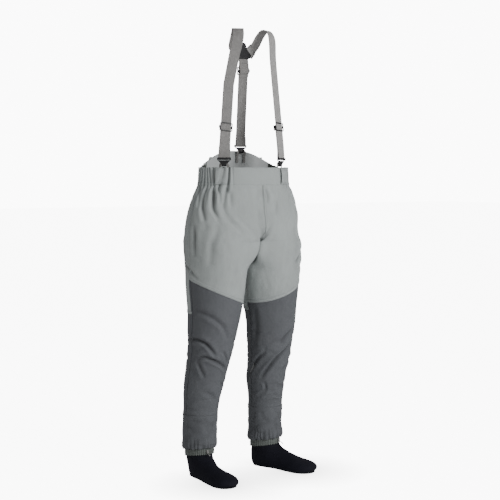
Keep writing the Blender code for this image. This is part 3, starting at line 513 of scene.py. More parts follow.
# Each crease: points (share, height) on one half, depth and width in metres.
CREASES = {
    "right": [
        ([(0.37, 0.985), (0.325, 0.945), (0.31, 0.905), (0.31, 0.865)], 0.0075, 0.0060),
        ([(0.33, 0.985), (0.285, 0.950), (0.265, 0.915)], 0.0050, 0.0045),
        ([(0.48, 0.975), (0.45, 0.940), (0.43, 0.900)], 0.0045, 0.0060),
        ([(0.26, 0.985), (0.21, 0.945), (0.19, 0.905)], 0.0034, 0.0065),
        ([(0.42, 0.950), (0.395, 0.900), (0.40, 0.860)], 0.0050, 0.0070),
        ([(0.465, 0.850), (0.46, 0.800), (0.455, 0.745)], 0.0065, 0.0065),
        ([(0.35, 0.850), (0.365, 0.790), (0.37, 0.715)], 0.0040, 0.0120),
        ([(0.27, 0.890), (0.26, 0.850), (0.25, 0.815)], 0.0030, 0.0080),
        ([(0.20, 0.870), (0.19, 0.830), (0.175, 0.780)], 0.0022, 0.0100),
        ([(0.56, 0.715), (0.50, 0.700), (0.44, 0.672)], 0.0050, 0.0055),
        ([(0.03, 0.900), (0.045, 0.860)], 0.0012, 0.0080),
        ([(0.47, 0.572), (0.37, 0.552), (0.28, 0.515), (0.23, 0.475)], 0.0050, 0.0080),
        (
            [(0.57, 0.470), (0.47, 0.474), (0.41, 0.468), (0.36, 0.452), (0.30, 0.418)],
            0.0090, 0.0055,
        ),
        (
            [(0.44, 0.408), (0.38, 0.416), (0.31, 0.404), (0.23, 0.385), (0.16, 0.365)],
            0.0080, 0.0052,
        ),
        ([(0.25, 0.432), (0.215, 0.415), (0.18, 0.388)], 0.0045, 0.0050),
        ([(0.43, 0.408), (0.40, 0.380), (0.35, 0.345)], 0.0045, 0.0065),
        ([(0.52, 0.250), (0.46, 0.238), (0.38, 0.232)], 0.0045, 0.0040),
        ([(0.20, 0.330), (0.16, 0.315), (0.08, 0.318)], 0.0035, 0.0060),
        ([(0.36, 0.300), (0.27, 0.285), (0.20, 0.262)], 0.0035, 0.0080),
        ([(0.62, 0.455), (0.74, 0.440), (0.86, 0.452)], 0.0075, 0.0060),
        ([(0.58, 0.400), (0.68, 0.412), (0.80, 0.398), (0.90, 0.410)], 0.0065, 0.0060),
        ([(0.66, 0.500), (0.77, 0.485), (0.88, 0.500)], 0.0050, 0.0080),
        ([(0.95, 0.735), (0.84, 0.760), (0.72, 0.795)], 0.0060, 0.0090),
        ([(0.96, 0.700), (0.86, 0.705), (0.76, 0.725)], 0.0050, 0.0090),
        ([(0.60, 0.300), (0.70, 0.285), (0.82, 0.300)], 0.0045, 0.0070),
    ],
    "left": [
        ([(0.36, 0.985), (0.34, 0.945), (0.35, 0.905)], 0.0040, 0.0055),
        ([(0.44, 0.985), (0.43, 0.940), (0.45, 0.900)], 0.0045, 0.0055),
        ([(0.30, 0.985), (0.28, 0.955), (0.29, 0.925)], 0.0030, 0.0050),
        ([(0.02, 0.975), (0.035, 0.945), (0.03, 0.915)], 0.0035, 0.0050),
        ([(0.14, 0.960), (0.10, 0.915), (0.09, 0.875)], 0.0028, 0.0080),
        ([(0.10, 0.840), (0.12, 0.795), (0.10, 0.740)], 0.0035, 0.0090),
        ([(0.42, 0.770), (0.36, 0.740), (0.31, 0.715)], 0.0050, 0.0080),
        ([(0.50, 0.735), (0.42, 0.715), (0.35, 0.690)], 0.0045, 0.0070),
        (
            [(0.36, 0.445), (0.28, 0.418), (0.22, 0.396), (0.16, 0.362), (0.10, 0.320)],
            0.0095, 0.0060,
        ),
        (
            [(0.13, 0.415), (0.08, 0.395), (0.03, 0.365), (-0.03, 0.325), (-0.08, 0.265)],
            0.0070, 0.0055,
        ),
        ([(0.13, 0.305), (0.145, 0.280), (0.10, 0.258), (0.05, 0.242)], 0.0045, 0.0050),
        ([(0.15, 0.252), (0.22, 0.256), (0.31, 0.249)], 0.0040, 0.0042),
        ([(0.20, 0.240), (0.26, 0.238), (0.33, 0.229)], 0.0038, 0.0040),
        ([(0.05, 0.570), (0.055, 0.500), (0.04, 0.432)], 0.0035, 0.0090),
        ([(0.40, 0.500), (0.30, 0.478), (0.22, 0.440)], 0.0050, 0.0080),
        ([(0.46, 0.395), (0.36, 0.375), (0.28, 0.340)], 0.0050, 0.0075),
        ([(0.42, 0.300), (0.33, 0.285), (0.24, 0.290)], 0.0035, 0.0070),
        ([(0.62, 0.450), (0.74, 0.462), (0.86, 0.445)], 0.0075, 0.0060),
        ([(0.56, 0.405), (0.68, 0.395), (0.80, 0.412), (0.92, 0.400)], 0.0065, 0.0060),
        ([(0.64, 0.495), (0.76, 0.505), (0.88, 0.488)], 0.0050, 0.0080),
        ([(0.95, 0.730), (0.85, 0.765), (0.74, 0.790)], 0.0060, 0.0090),
        ([(0.96, 0.695), (0.85, 0.712), (0.77, 0.720)], 0.0050, 0.0090),
        ([(0.62, 0.310), (0.72, 0.290), (0.84, 0.305)], 0.0045, 0.0070),
    ],
}


def crease_lines(side):
    """The creases as lines in space, with their depths and widths."""
    lines = []
    for keys, depth, width in CREASES[side]:
        smooth = curve_through(keys, 7)
        lines.append((trouser_point(side, smooth[:, 0], smooth[:, 1]), depth, width))
    return lines


LINES = {side: crease_lines(side) for side in SIDES}


def crease_depth(points, normals, lines):
    """How far the creases push points in, with a ridge along each side."""
    total = np.zeros(len(points))
    for line, depth, width in lines:
        reach = 5 * width
        low, high = line.min(0) - reach, line.max(0) + reach
        chosen = np.nonzero(((points > low) & (points < high)).all(1))[0]
        if not len(chosen):
            continue
        start, run = line[:-1], line[1:] - line[:-1]
        rel = points[chosen][:, None, :] - start[None]
        t = np.clip((rel * run).sum(-1) / (run * run).sum(-1), 0, 1)
        gap = rel - t[..., None] * run
        nearest = (gap**2).sum(-1).argmin(1)
        pick = np.arange(len(chosen))
        gap, t = gap[pick, nearest], t[pick, nearest]
        along = (nearest + t) / len(run)
        across = np.cross(unit(run[nearest]), normals[chosen])
        x = (gap * across).sum(-1)
        size = np.linalg.norm(gap, axis=-1)
        x = np.where(x < 0, -size, size) / width
        taper = np.sin(math.pi * along) ** 0.6
        profile = -hill(x, 0, 1) + 0.55 * hill(x, 1.9, 1.2)
        profile += 0.30 * hill(x, -2.3, 1.5)
        total[chosen] += depth * taper * profile
    return total


def gather(turn):
    """The gathered waist's ripple, from -1 to 1, with narrow valleys."""
    phase = 52 * turn + 2.0 * np.sin(5 * turn + 1) + 1.3 * np.sin(11 * turn)
    swell = 0.80 + 0.35 * np.sin(7 * turn + 0.7)
    return (2 * (0.5 + 0.5 * np.cos(phase)) ** 0.42 - 1) * swell


def gathered(turn):
    """How much the waist is gathered there: 1 at the elastic sides."""
    turn = wrapped(turn - WAIST_TWIST)
    off = np.abs(np.degrees(turn))
    start = PANEL_TURN - GATHER_LEAD + GATHER_LEAN * np.sign(turn)
    past_back = smoothstep(BACK_TURN - BACK_FADE, BACK_TURN + BACK_FADE, off)
    return smoothstep(start, start + GATHER_FADE, off) * (1 - past_back)


def fabric(side, share, height, lift=0.0):
    """The folded fabric's points, and how deep each lies in a fold, from 0 to 1."""
    shape = np.broadcast(share, height).shape
    share = np.broadcast_to(share, shape).astype(float).ravel()
    height = np.broadcast_to(height, shape).astype(float).ravel()
    base = trouser_point(side, share, height)
    normal = outward(side, share, height)
    total = crease_depth(base, normal, LINES[side])
    # Soft upright folds over the seat and thighs, slanting ones down the legs.
    upper = smoothstep(0.56, 0.72, height)
    total += 0.0034 * upper * noise_at(base, (13, 13, 3.5), 1)
    total += 0.0030 * (1 - upper) * noise_at(base, (9, 9, 11), 2)
    knees = hill(height, 0.42, 0.09) + hill(height, 0.25, 0.05)
    lines = noise_at(base + 0.35 * base[:, [2, 0, 1]], (15, 15, 26), 3)
    total -= 0.0016 * (0.15 + 0.85 * knees) * hill(lines, 0, 0.16) * (1 - upper)
    soft = noise_at(base + 0.15 * base[:, [2, 0, 1]], (16, 16, 6), 4)
    total -= 0.0010 * upper * hill(soft, 0, 0.14)
    total += 0.0007 * noise_at(base, (60, 60, 45), 5)
    # The gathers run down from the waistband and fade.
    turn = SIDES[side] * math.pi * share
    below = np.clip(BAND_Z - height, 0, None)
    waist = gathered(turn)
    total += 0.0050 * waist * gather(turn * 0.37 + 0.4) * np.exp(-below / 0.080)
    total *= smoothstep(-0.001, 0.022, BAND_Z - height)
    total += waist_offset(turn, base, BAND_Z) * np.exp(-below / 0.032)
    # Folds die out at the guards' seam.
    total *= smoothstep(GUARD_TOP_Z - 0.002, GUARD_TOP_Z + 0.022, height)
    # Near the guards the fabric stays clear of the sleeves inside.
    total = np.maximum(total, -0.0014 - 0.15 * np.clip(height - 0.262, 0, None))
    # How deep each point lies in a fold, which the cloth materials darken as painted shade.
    fold = np.clip(-total / 0.0065, 0, 1) ** 1.3
    # Seams draw the fabric in, less so above the crotch in front.
    seam = np.minimum(np.abs(share - 0.5), np.minimum(np.abs(share), np.abs(1 - share))) * AROUND
    front = np.abs(share) < 0.3
    over = smoothstep(CROTCH_Z - 0.002, CROTCH_Z + 0.012, height)
    total -= 0.0010 * hill(seam, 0, 0.004) * np.where(front, 1 - 0.8 * over, 1.0)
    # The front hangs flat down to the crotch, and parts there between the thighs.
    filled = over * smoothstep(0.905, 0.840, height)
    total += 0.0085 * filled * hill(share, 0, 0.055) * front
    parting = smoothstep(0.685, 0.735, height)
    parting = parting * smoothstep(CROTCH_Z + 0.002, CROTCH_Z - 0.012, height)
    total -= 0.0120 * parting * hill(share, 0.075, 0.034) * front
    if side == "left":
        total -= 0.0100 * hill(share, 0.37, 0.12) * hill(height, 0.822, 0.040)
    points = base + normal * (total + lift)[:, None]
    # Nothing crosses the middle seam.
    sign = SIDES[side]
    edge = FOOTPRINT[0] + sign * GAP * 0.5
    points[:, 0] = np.where((points[:, 0] - edge) * sign < 0, edge, points[:, 0])
    return points.reshape(*shape, 3), fold.reshape(shape)


def dense(first, last, step, edge=(0.0, 0.0012, 0.0035, 0.007)):
    """Stations from first to last, closer together near both ends."""
    span = abs(last - first)
    inner = np.linspace(edge[-1], span - edge[-1], max(int(span / step), 4))
    found = np.concatenate([edge[:-1], inner, span - np.array(edge[:-1])[::-1]])
    return first + np.sign(last - first) * found


def fabric_panel(name, side, shares, top, bottom, material, nodes, lift=0.0):
    """A panel between two shares and two height rules."""
    column, row = 0.0034, 0.0036
    first, last = shares
    columns = dense(first * AROUND, last * AROUND, column) / AROUND
    high, low = (
        np.array([edge(s) if callable(edge) else edge for s in columns]) for edge in (top, bottom)
    )
    down = dense(0.0, float((high - low).max()), row)
    down = down / down[-1]
    share = np.broadcast_to(columns, (len(down), len(columns)))
    height = high[None] + (low - high)[None] * down[:, None]
    # Rows lie closer together at the crotch, where the middle seam turns under.
    off = height - (CROTCH_Z + 0.003)
    height = height - off * 0.75 * hill(off, 0, 0.02)
    points, fold = fabric(side, share, height, lift)
    uv = stack(share * AROUND, height, 0.0)[..., :2]
    points, fold, uv = facing_out(side, points, fold, uv)
    made = grid_object(name, points, material, CLOTH, uv=uv, fold=fold)
    place_piece(made, "waders", f"{material}_shell", *nodes)


# A folded seam's section: places across its width, their heights and its lift off the fabric.
SEAM_ACROSS = np.array((-0.5, -0.44, -0.2, 0.0, 0.2, 0.44, 0.5))
SEAM_HEIGHTS = np.array((0.0, 0.8, 1.0, 0.9, 1.0, 0.8, 0.0))
SEAM_LIFT, SEAM_THICKNESS = 0.0002, 0.0006


def seam_strip(name, side, path, upright, shade_name, width=0.0085, rise=0.0009):
    """A folded seam with its stitching, laid along a path of (share, height)."""
    path = np.asarray(path, float)
    offsets = SEAM_ACROSS * width
    share, height = path[:, :1], path[:, 1:]
    if upright:
        share = share + offsets[None] / AROUND
        height = height + 0 * offsets[None]
    else:
        share = share + 0 * offsets[None]
        height = height - offsets[None]
    points, fold = fabric(side, share, height)
    normal = outward(side, share.ravel(), height.ravel()).reshape(points.shape)
    points = points + normal * (SEAM_HEIGHTS * rise + SEAM_LIFT)[None, :, None]
    uv = stack(offsets[None], run_length(points[:, 3])[:, None], 0.0)[..., :2]
    if not upright:
        points, uv, fold = (np.swapaxes(grid, 0, 1) for grid in (points, uv, fold))
    points, uv, fold = facing_out(side, points, uv, fold)
    made = grid_object(
        name, points, f"{shade_name}_seam", SEAM_THICKNESS, uv=uv, fold=fold * 0.5
    )
    place_piece(made, "waders", f"{shade_name}_shell")


FRONT_HALF, BACK_HALF = (0.0, 0.5), (0.5, 1.0)
UNDERLAP = -0.0006  # the dark cloth starts behind the light cloth's edge
# name: shares, top, bottom, CAD nodes, flat size, lift
PANELS = {
    "light_front": (
        FRONT_HALF, BAND_Z + 0.001, lambda v: thigh_seam(v) - 0.001,
        ("seat_front", "thigh_front"), (0.36, 0.42), 0.0,
    ),
    "light_back": (
        BACK_HALF, BAND_Z + 0.001, CALF_Z - 0.001,
        ("seat_back", "thigh_back"), (0.36, 0.44), 0.0,
    ),
    "dark_front": (
        FRONT_HALF, lambda v: thigh_seam(v) + 0.003, GUARD_TOP_Z,
        ("leg_front",), (0.32, 0.48), UNDERLAP,
    ),
    "dark_back": (
        BACK_HALF, CALF_Z + 0.003, GUARD_TOP_Z, ("leg_back",), (0.32, 0.36), UNDERLAP,
    ),
}


def make_shell():
    for side in SIDES:
        for name, (shares, top, bottom, nodes, flat, lift) in PANELS.items():
            material = name.split("_")[0]
            nodes = [f"{side}_{node}" for node in nodes]
            panel = f"{side}_{name}"
            fabric_panel(panel, side, shares, top, bottom, material, nodes, lift)


def straight_down(share, top, bottom, step=0.003):
    """A seam's path down the fabric at one share."""
    return [(share, z) for z in np.arange(top, bottom, -step)]


def make_seams():
    knee, hem, over_edge = float(thigh_seam(0.5)), GUARD_TOP_Z + 0.004, 0.0045
    slant = [(v, float(thigh_seam(v)) + over_edge) for v in np.linspace(0.0, 0.5, 90)]
    level = [(v, CALF_Z + over_edge) for v in np.linspace(0.5, 1.0, 80)]
    seams = [
        ("side_seam_light", straight_down(0.5, BAND_Z - 0.002, knee), True, "light", 0.0085),
        ("side_seam_dark", straight_down(0.5, knee, hem), True, "dark", 0.0085),
        ("thigh_seam", slant, False, "light", 0.011),
        ("calf_seam", level, False, "light", 0.011),
        ("inseam_light", straight_down(0.0, CROTCH_Z - 0.02, 0.586), True, "light", 0.007),
        ("inseam_dark", straight_down(0.0, 0.583, hem), True, "dark", 0.007),
    ]
    for side in SIDES:
        for name, *seam in seams:
            seam_strip(f"{side}_{name}", side, *seam)
    for name, share in (("front", 0.012), ("back", 0.988)):
        middle = straight_down(share, BAND_Z - 0.002, CROTCH_Z + 0.03)
        seam_strip(f"{name}_middle_seam", "left", middle, True, "light", 0.008, 0.0007)


# Waistband ----------------------------------------------------------------


def waist_offset(turn, point, height, ruffle=1.0):
    """How far the gathered waist stands out of the CAD surface."""
    depth, puff, stray, sink = 0.0048, 0.0012, 0.0012, 0.0020
    waist = gathered(turn)
    slant = turn + 0.08 * np.sin(9 * turn) * (height - BAND_Z) / (RIM_Z - BAND_Z)
    bulge = puff * np.sin(math.pi * smoothstep(BAND_Z, RIM_Z, height)) * (1 - waist * 0.4)
    wander = noise_at(point, (18, 18, 12), 8) * stray * (1 - 0.6 * waist)
    return depth * ruffle * gather(slant) * waist + bulge + wander - sink * waist


def waist_skin(turn, height, inset=0.0, ruffle=1.0):
    """The waistband's gathered surface, and how deep each point lies in a fold."""
    point, normal = band_point(turn, height)
    off = waist_offset(turn, point, height, ruffle)
    # How deep each point lies in a gather, which the cloth materials darken as painted shade.
    fold = np.clip(-off / 0.005, 0, 1)
    return point + normal * (off - inset)[..., None], fold


def band_piece(
    name, turns, top, bottom, material, slot, node,
    inset=0.0, thickness=0.0016, ruffle=1.0, frill=0.0015,
):
    """A piece of the waistband between two turns in degrees."""
    margin, column = 0.0006, 0.0016
    first, last = (math.radians(turn) for turn in turns)
    count = int((last - first) * WAIST_RADIUS / column)
    turn = np.linspace(first + margin, last - margin, count)
    high = top(turn) + frill * gather(turn + 0.02) * gathered(wrapped(turn))
    share = np.linspace(0, 1, 22)
    height = high[None] + (bottom - high)[None] * share[:, None]
    grid = np.broadcast_to(turn, height.shape)
    points, fold = waist_skin(grid, height, inset, ruffle)
    uv = stack(grid * WAIST_RADIUS, height, 0.0)[..., :2]
    made = grid_object(name, points, material, thickness, uv=uv, fold=fold)
    place_piece(made, "waders", slot, node)


def make_waist():
    twist = math.degrees(WAIST_TWIST)
    edges = [twist - BACK_TURN, twist - PANEL_TURN, twist + PANEL_TURN, twist + BACK_TURN]
    edges.append(edges[0] + 360)
    for name, first, last in zip(("right", "front", "left", "back"), edges, edges[1:]):
        flat = {"front": (0.24, 0.062), "back": (0.22, 0.12)}.get(name, (0.22, 0.070))
        band_piece(
            f"{name}_band", (first, last), rim_height, BAND_Z, "light", "light_shell",
            f"{name}_waistband",
        )
        # The rolled and stitched edge along the band's bottom.
        if name != "front":
            turn = np.linspace(math.radians(first), math.radians(last), 220)
            seam_ring(f"{name}_band_seam", turn, BAND_Z + 0.0035)
    for side, sign in SIDES.items():
        turns = sorted(twist + sign * turn for turn in (PANEL_TURN - 2, BACK_TURN + 2))
        band_piece(
            f"{side}_elastic", turns, lambda turn: rim_height(turn) - 0.002, BAND_Z + 0.006,
            "elastic", "elastic", f"{side}_waist_elastic",
            inset=0.0036, thickness=0.0012, ruffle=1.3, frill=0.0030,
        )
    back = (twist + BACK_TURN - FACING_OVERLAP, twist + 360 - BACK_TURN + FACING_OVERLAP)
    front = (twist - PANEL_TURN - FACING_OVERLAP, twist + PANEL_TURN + FACING_OVERLAP)
    for name, turns, flat in (("back", back, (0.24, 0.12)), ("front", front, (0.26, 0.06))):
        band_piece(
            f"{name}_facing", turns, lambda turn: rim_height(turn) - 0.0015, BAND_Z + 0.002,
            "lining", "lining", "waist_facing",
            inset=0.0034, thickness=0.0006, frill=0.0,
        )
    for side, sign in SIDES.items():
        for end, loop_turn in LOOP_TURNS.items():
            turn = math.radians(twist + sign * loop_turn)
            belt_loop(f"{side}_{end}_loop", turn, f"{side}_{end}_belt_loop")


def seam_ring(name, turn, height):
    offsets = SEAM_ACROSS * 0.007
    grid = np.broadcast_to(turn, (len(offsets), len(turn)))
    heights = height - offsets[:, None] + 0 * grid
    points, fold = waist_skin(grid, heights)
    normal = band_point(grid, heights)[1]
    points = points + normal * (SEAM_HEIGHTS * 0.0004 + SEAM_LIFT)[:, None, None]
    uv = stack(offsets[:, None], grid * WAIST_RADIUS, 0.0)[..., :2]
    made = grid_object(name, points, "light_seam", SEAM_THICKNESS, uv=uv, fold=fold)
    place_piece(made, "waders", "light_shell")


def under_loop(turn, height):
    """The waistband's surface as a belt loop meets it, and the level normal there."""
    point, normal = band_point(turn, height)
    off = np.clip(waist_offset(turn, point, height), -0.001, None)
    return point + normal * off[..., None], normal


def belt_loop(name, turn, node):
    """A wide fabric loop, folded at its sides and sewn down at both ends."""
    arch, stitches = 0.0040, 60
    rim, bottom = float(rim_height(turn)) - 0.003, BAND_Z + 0.003
    share = np.array(
        (0.0, 0.03, 0.06, 0.11, 0.16, 0.3, 0.4, 0.5, 0.6, 0.7, 0.84, 0.89, 0.94, 0.97, 1.0)
    )
    off = np.interp(share, [0, 0.06, 0.16, 0.5, 0.84, 0.94, 1], [0, 0.75, 1, 1.15, 1, 0.75, 0])
    k = np.linspace(-0.5, 0.5, 21)
    grid = turn + (k * LOOP_WIDTH / LOOP_RADIUS)[None] + 0 * share[:, None]
    height = (rim + (bottom - rim) * share)[:, None] + 0 * k[None]
    point, normal = under_loop(grid, height)
    edge = 0.0004 * smoothstep(0.40, 0.47, np.abs(k))
    stand = GAP + 0.0005 + arch * off[:, None] + edge[None]
    stand = stand + 0.0006 * np.sin(k * 9 + turn * 5)[None] * off[:, None]
    uv = stack((k * LOOP_WIDTH)[None], height, 0.0)[..., :2]
    points = point + normal * stand[..., None]
    made = grid_object(name, points, "light", 0.0013, offset=1.0, uv=uv)
    soften(made, 0.0004)
    place_piece(made, "waders", "light_shell", node)
    row_turn = turn + np.linspace(-0.46, 0.46, stitches) * LOOP_WIDTH / LOOP_RADIUS
    for end, z in (("top", rim - 0.006), ("bottom", bottom + 0.005)):
        row, row_normal = under_loop(row_turn, np.full(stitches, z))
        row_off = np.interp((rim - z) / (rim - bottom), share, off)
        row = row + row_normal * (GAP + 0.0018 + arch * row_off)
        sew(f"{name}_{end}_tack", row, row_normal)


def sew(name, points, normals):
    """A row of raised stitches along a line on a surface."""
    pitch, radius = 0.0030, 0.00032
    length = run_length(points)
    shape = bmesh.new()
    for start in np.arange(0, length[-1] - pitch * 0.7, pitch):
        ends = []
        for at in (start, start + pitch * 0.72):
            spot, up = (
                Vector([np.interp(at, length, row[:, c]) for c in range(3)])
                for row in (points, normals)
            )
            ends.append((spot, up.normalized()))
        (a, up), (b, _) = ends
        along = (b - a).normalized()
        out = along.cross(up).normalized()
        ring = [up * radius, out * radius, -up * radius, -out * radius]
        tip_a, tip_b = shape.verts.new(a - up * radius), shape.verts.new(b - up * radius)
        near = [shape.verts.new(a + along * radius + r) for r in ring]
        far = [shape.verts.new(b - along * radius + r) for r in ring]
        for i in range(4):
            j = (i + 1) % 4
            shape.faces.new((near[i], near[j], far[j], far[i]))
            shape.faces.new((tip_a, near[j], near[i]))
            shape.faces.new((tip_b, far[i], far[j]))
    bmesh.ops.recalc_face_normals(shape, faces=shape.faces)
    mesh = bpy.data.meshes.new(name)
    shape.to_mesh(mesh)
    shape.free()
    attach(new_object(name, mesh, "thread"), "waders")


# Feet ---------------------------------------------------------------------


def foot_axes(side):
    turn = TOE_OUT[side]
    forward = np.array((math.sin(turn), -math.cos(turn), 0.0))
    left = np.array((math.cos(turn), math.sin(turn), 0.0))
    return np.array((SIDES[side] * ANKLE_X, ANKLE_Y, 0.0)) + FOOTPRINT, left, forward


def on_foot(side, across, ahead, up):
    origin, left, forward = foot_axes(side)
    across, ahead, up = np.broadcast_arrays(across, ahead, up)
    found = origin + left * across[..., None] + forward * ahead[..., None]
    found[..., 2] += up
    return found


def ankle_rows(side, stations, count, steps):
    """Rings through stations (half across, half along, height, rise, forward shift)."""
    fine = curve_through(stations, steps)
    angle = np.linspace(0, 2 * math.pi, count, endpoint=False)
    across, along, height, rise, shift = (fine[:, i : i + 1] for i in range(5))
    up = height + rise * np.cos(angle)
    points = on_foot(side, across * np.sin(angle), along * np.cos(angle), up)
    lean = np.array((-SIDES[side] * 0.6, -1.0, 0.0))
    return points + shift[..., None] * lean, angle, fine


def radial(side, angle):
    _, left, forward = foot_axes(side)
    return np.sin(angle)[..., None] * left + np.cos(angle)[..., None] * forward


def make_guard(side):
    stations = [
        (0.0590, 0.0610, GUARD_TOP_Z, 0.0, 0.0030),
        (0.0580, 0.0600, 0.180, 0.0, 0.0015),
        (0.0575, 0.0600, 0.145, 0.002, 0.0),
        (0.0590, 0.0625, 0.118, 0.004, 0.0),
        (0.0585, 0.0625, 0.106, 0.006, 0.0),
        (0.0545, 0.0610, 0.098, 0.007, 0.0),
    ]
    points, angle, fine = ankle_rows(side, stations, 180, 9)
    out = radial(side, angle)[None]
    height = fine[:, 2:3]
    seed = 11 if side == "right" else 12
    low = 1 - smoothstep(0.100, 0.150, height)
    phase = 27 * angle + 1.6 * np.sin(4 * angle + seed) + 1.1 * np.sin(9 * angle)
    pleat = 2 * (0.5 + 0.5 * np.cos(phase)) ** 0.7 - 1
    soft = noise_at(points, (26, 26, 22), seed)
    lines = noise_at(points + 0.4 * points[..., [2, 0, 1]], (24, 24, 34), seed + 2)
    fade = smoothstep(GUARD_TOP_Z, GUARD_TOP_Z - 0.02, height)
    push = 0.0016 * low * pleat[None] + 0.0024 * soft * fade
    push -= 0.0016 * hill(lines, 0, 0.20) * fade
    # Depth in the pleats and wrinkles, darkened by the dark cloth as painted shade.
    fold = np.clip(-push / 0.004, 0, 1)
    points = points + out * push[..., None]
    points[..., 2] += 0.0014 * low * np.cos(phase * 0.5)[None]
    made = grid_object(f"{side}_guard", points, "dark", 0.0010, fold=fold, closed=True)
    place_piece(made, "waders", "dark_shell", f"{side}_gravel_guard")
    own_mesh(made)


def make_cuff(side):
    stations = [
        (0.0492, 0.0548, 0.0960, 0.008, 0.0),
        (0.0482, 0.0536, 0.0915, 0.008, 0.0),
        (0.0490, 0.0544, 0.0860, 0.008, 0.0),
        (0.0482, 0.0536, 0.0805, 0.008, 0.0),
        (0.0490, 0.0544, 0.0760, 0.008, 0.0),
    ]
    points, angle, fine = ankle_rows(side, stations, 420, 5)
    phase = 52 * angle + 1.2 * np.sin(6 * angle) + 0.7 * np.sin(13 * angle)
    ripple = -0.5 + 0.5 * np.cos(phase)
    share = (fine[:, 2:3] - 0.0760) / 0.020
    push = 0.0015 * ripple[None] * (0.65 + 0.35 * np.abs(2 * share - 1))
    points = points + radial(side, angle)[None] * push[..., None]
    points[..., 2] += 0.0012 * np.cos(phase)[None] * (2 * share - 1)
    # The ripples' valleys, darkened strongly by the cuff's cloth as painted shade.
    fold = np.clip(-ripple, 0, 1)[None] + 0 * share
    made = grid_object(f"{side}_cuff", points, "cuff", 0.0012, fold=fold * 0.8, closed=True)
    place_piece(made, f"{side}_cuff", "elastic", f"{side}_guard_cuff")


def sock_rings(side, stations, inset):
    rings, count = [], 96
    toe_inwards, flatter_sides = 0.006, 0.12
    inner = -SIDES[side]
    for top_f, top_z, low_f, low_z, width in stations:
        top, low = Vector((top_f, top_z)), Vector((low_f, low_z))
        reach, centre = (top - low) / 2, (top + low) / 2
        reach = reach * (1 - inset / reach.length)
        bend = toe_inwards * inner * float(smoothstep(0.03, 0.15, centre.x))
        squareness = 1 - flatter_sides * float(smoothstep(0.0, 0.05, centre.x))
        angle = np.linspace(0, 2 * math.pi, count, endpoint=False)
        c, s = np.cos(angle), np.sin(angle)
        wide = np.sign(s) * np.abs(s) ** squareness * (width - inset) + bend
        up = np.maximum(centre.y + reach.y * c, SOLE + GAP + inset)
        rings.append(on_foot(side, wide, centre.x + reach.x * c, up))
    return np.array(rings)


def make_sock(side):
    """The neoprene sock: wrinkled round the ankle, with a taped seam over the toes."""
    fine = curve_through(SOCK, 5)
    outer = sock_rings(side, fine, 0.0)
    inner = sock_rings(side, curve_through(SOCK[:-3], 2), NEOPRENE)
    middle = outer.mean(1, keepdims=True)
    out = unit(outer - middle)
    high = outer[..., 2]
    ankle = hill(high, 0.078, 0.026)
    lines = noise_at(outer, (14, 14, 60), 21)
    push = -0.0022 * ankle * hill(lines, 0, 0.16) + 0.0008 * noise_at(outer, (22, 22, 22), 22)
    # The taped seam over the toes.
    station = np.linspace(0, 1, len(fine))[:, None]
    push = push + 0.0009 * hill(station, 0.77, 0.012)
    push = push * smoothstep(SOLE + 0.001, SOLE + 0.012, high)
    outer = outer + out * push[..., None]
    outer[..., 2] = np.maximum(outer[..., 2], SOLE + GAP)
    made = vessel(f"{side}_sock", outer, inner, "neoprene")
    place_piece(made, "waders", "neoprene", f"{side}_sock_upper")
    sole = copy_node(f"{side}_sole", f"{side}_sock_sole", "sole", "sock_sole", "waders")
    soften(sole, 0.0009, 3)


def vessel(name, outer, inner, material):
    """A closed skin: outer rings down, a closed end, and inner rings back up."""
    rings = np.array([*outer, *inner[::-1]])
    total, count = rings.shape[:2]
    end = len(outer) - 1
    # Each pair of rings in turn and the rim last, but nothing across the closed end.
    pairs = [(k, k + 1) for k in range(total - 1) if k != end] + [(total - 1, 0)]
    faces = []
    for a, b in pairs:
        for i in range(count):
            j = (i + 1) % count
            faces.append((a * count + i, b * count + i, b * count + j, a * count + j))
    faces.append(tuple(end * count + i for i in range(count))[::-1])
    faces.append(tuple((end + 1) * count + i for i in range(count)))
    mesh = bpy.data.meshes.new(name)
    mesh.from_pydata(rings.reshape(-1, 3).tolist(), [], faces)
    return new_object(name, mesh, material)


def copy_node(name, node, material, slot, body):
    """A detailed copy of a CAD node: its sharp edges are softened afterwards."""
    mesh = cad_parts[node].data.copy()
    shape = bmesh.new()
    shape.from_mesh(mesh)
    bmesh.ops.remove_doubles(shape, verts=shape.verts, dist=1e-6)
    bmesh.ops.dissolve_limit(
        shape, angle_limit=math.radians(1.0), verts=shape.verts, edges=shape.edges
    )
    shape.to_mesh(mesh)
    shape.free()
    made = new_object(name, mesh, material)
    place_piece(made, body, slot, node)
    return made


def make_feet():
    tube = (0.0445, 0.050)
    sleeve = [
        (0.0570, 0.0590, 0.245, 0.0, 0.0050),
        (0.0560, 0.0580, 0.225, 0.0, 0.0035),
        (0.0500, 0.0540, 0.200, 0.0, 0.0015),
        (*tube, 0.178, 0.0, 0.0),
        (*tube, 0.129, 0.0, 0.0),
    ]
    over = [(tube[0] + GAP, tube[1] + GAP, z, 0.0, 0.0) for z in (0.140, 0.118)]
    for side in SIDES:
        make_sock(side)
        for name, stations, material, slot, node, thickness, offset in (
            ("sleeve", sleeve, "lining", "lining", "ankle_sleeve", 0.001, -1.0),
            ("sock_tape", over, "tape", "seam_tape", "sock_seam_tape", 0.0004, 1.0),
        ):
            points = ankle_rows(side, stations, 96, 5)[0]
            made = grid_object(f"{side}_{name}", points, material, thickness, offset, closed=True)
            place_piece(made, "waders", slot, f"{side}_{node}")
        make_guard(side)
        make_cuff(side)
        make_lace_hook(side)


# Braces -------------------------------------------------------------------

RUN_STEPS, APPROACH_STEPS, SPREAD_STEPS = 24, 15, 14  # frames along each stretch of webbing


def lateral(turn):
    return Vector((math.cos(turn), math.sin(turn), 0))


def axes(origin, across, up):
    """A frame with X across, Z as near up as the across allows and -Y outwards."""
    up = up.normalized()
    across = (across - up * across.dot(up)).normalized()
    matrix = Matrix((across, up.cross(across), up)).transposed().to_4x4()
    matrix.translation = origin
    return matrix


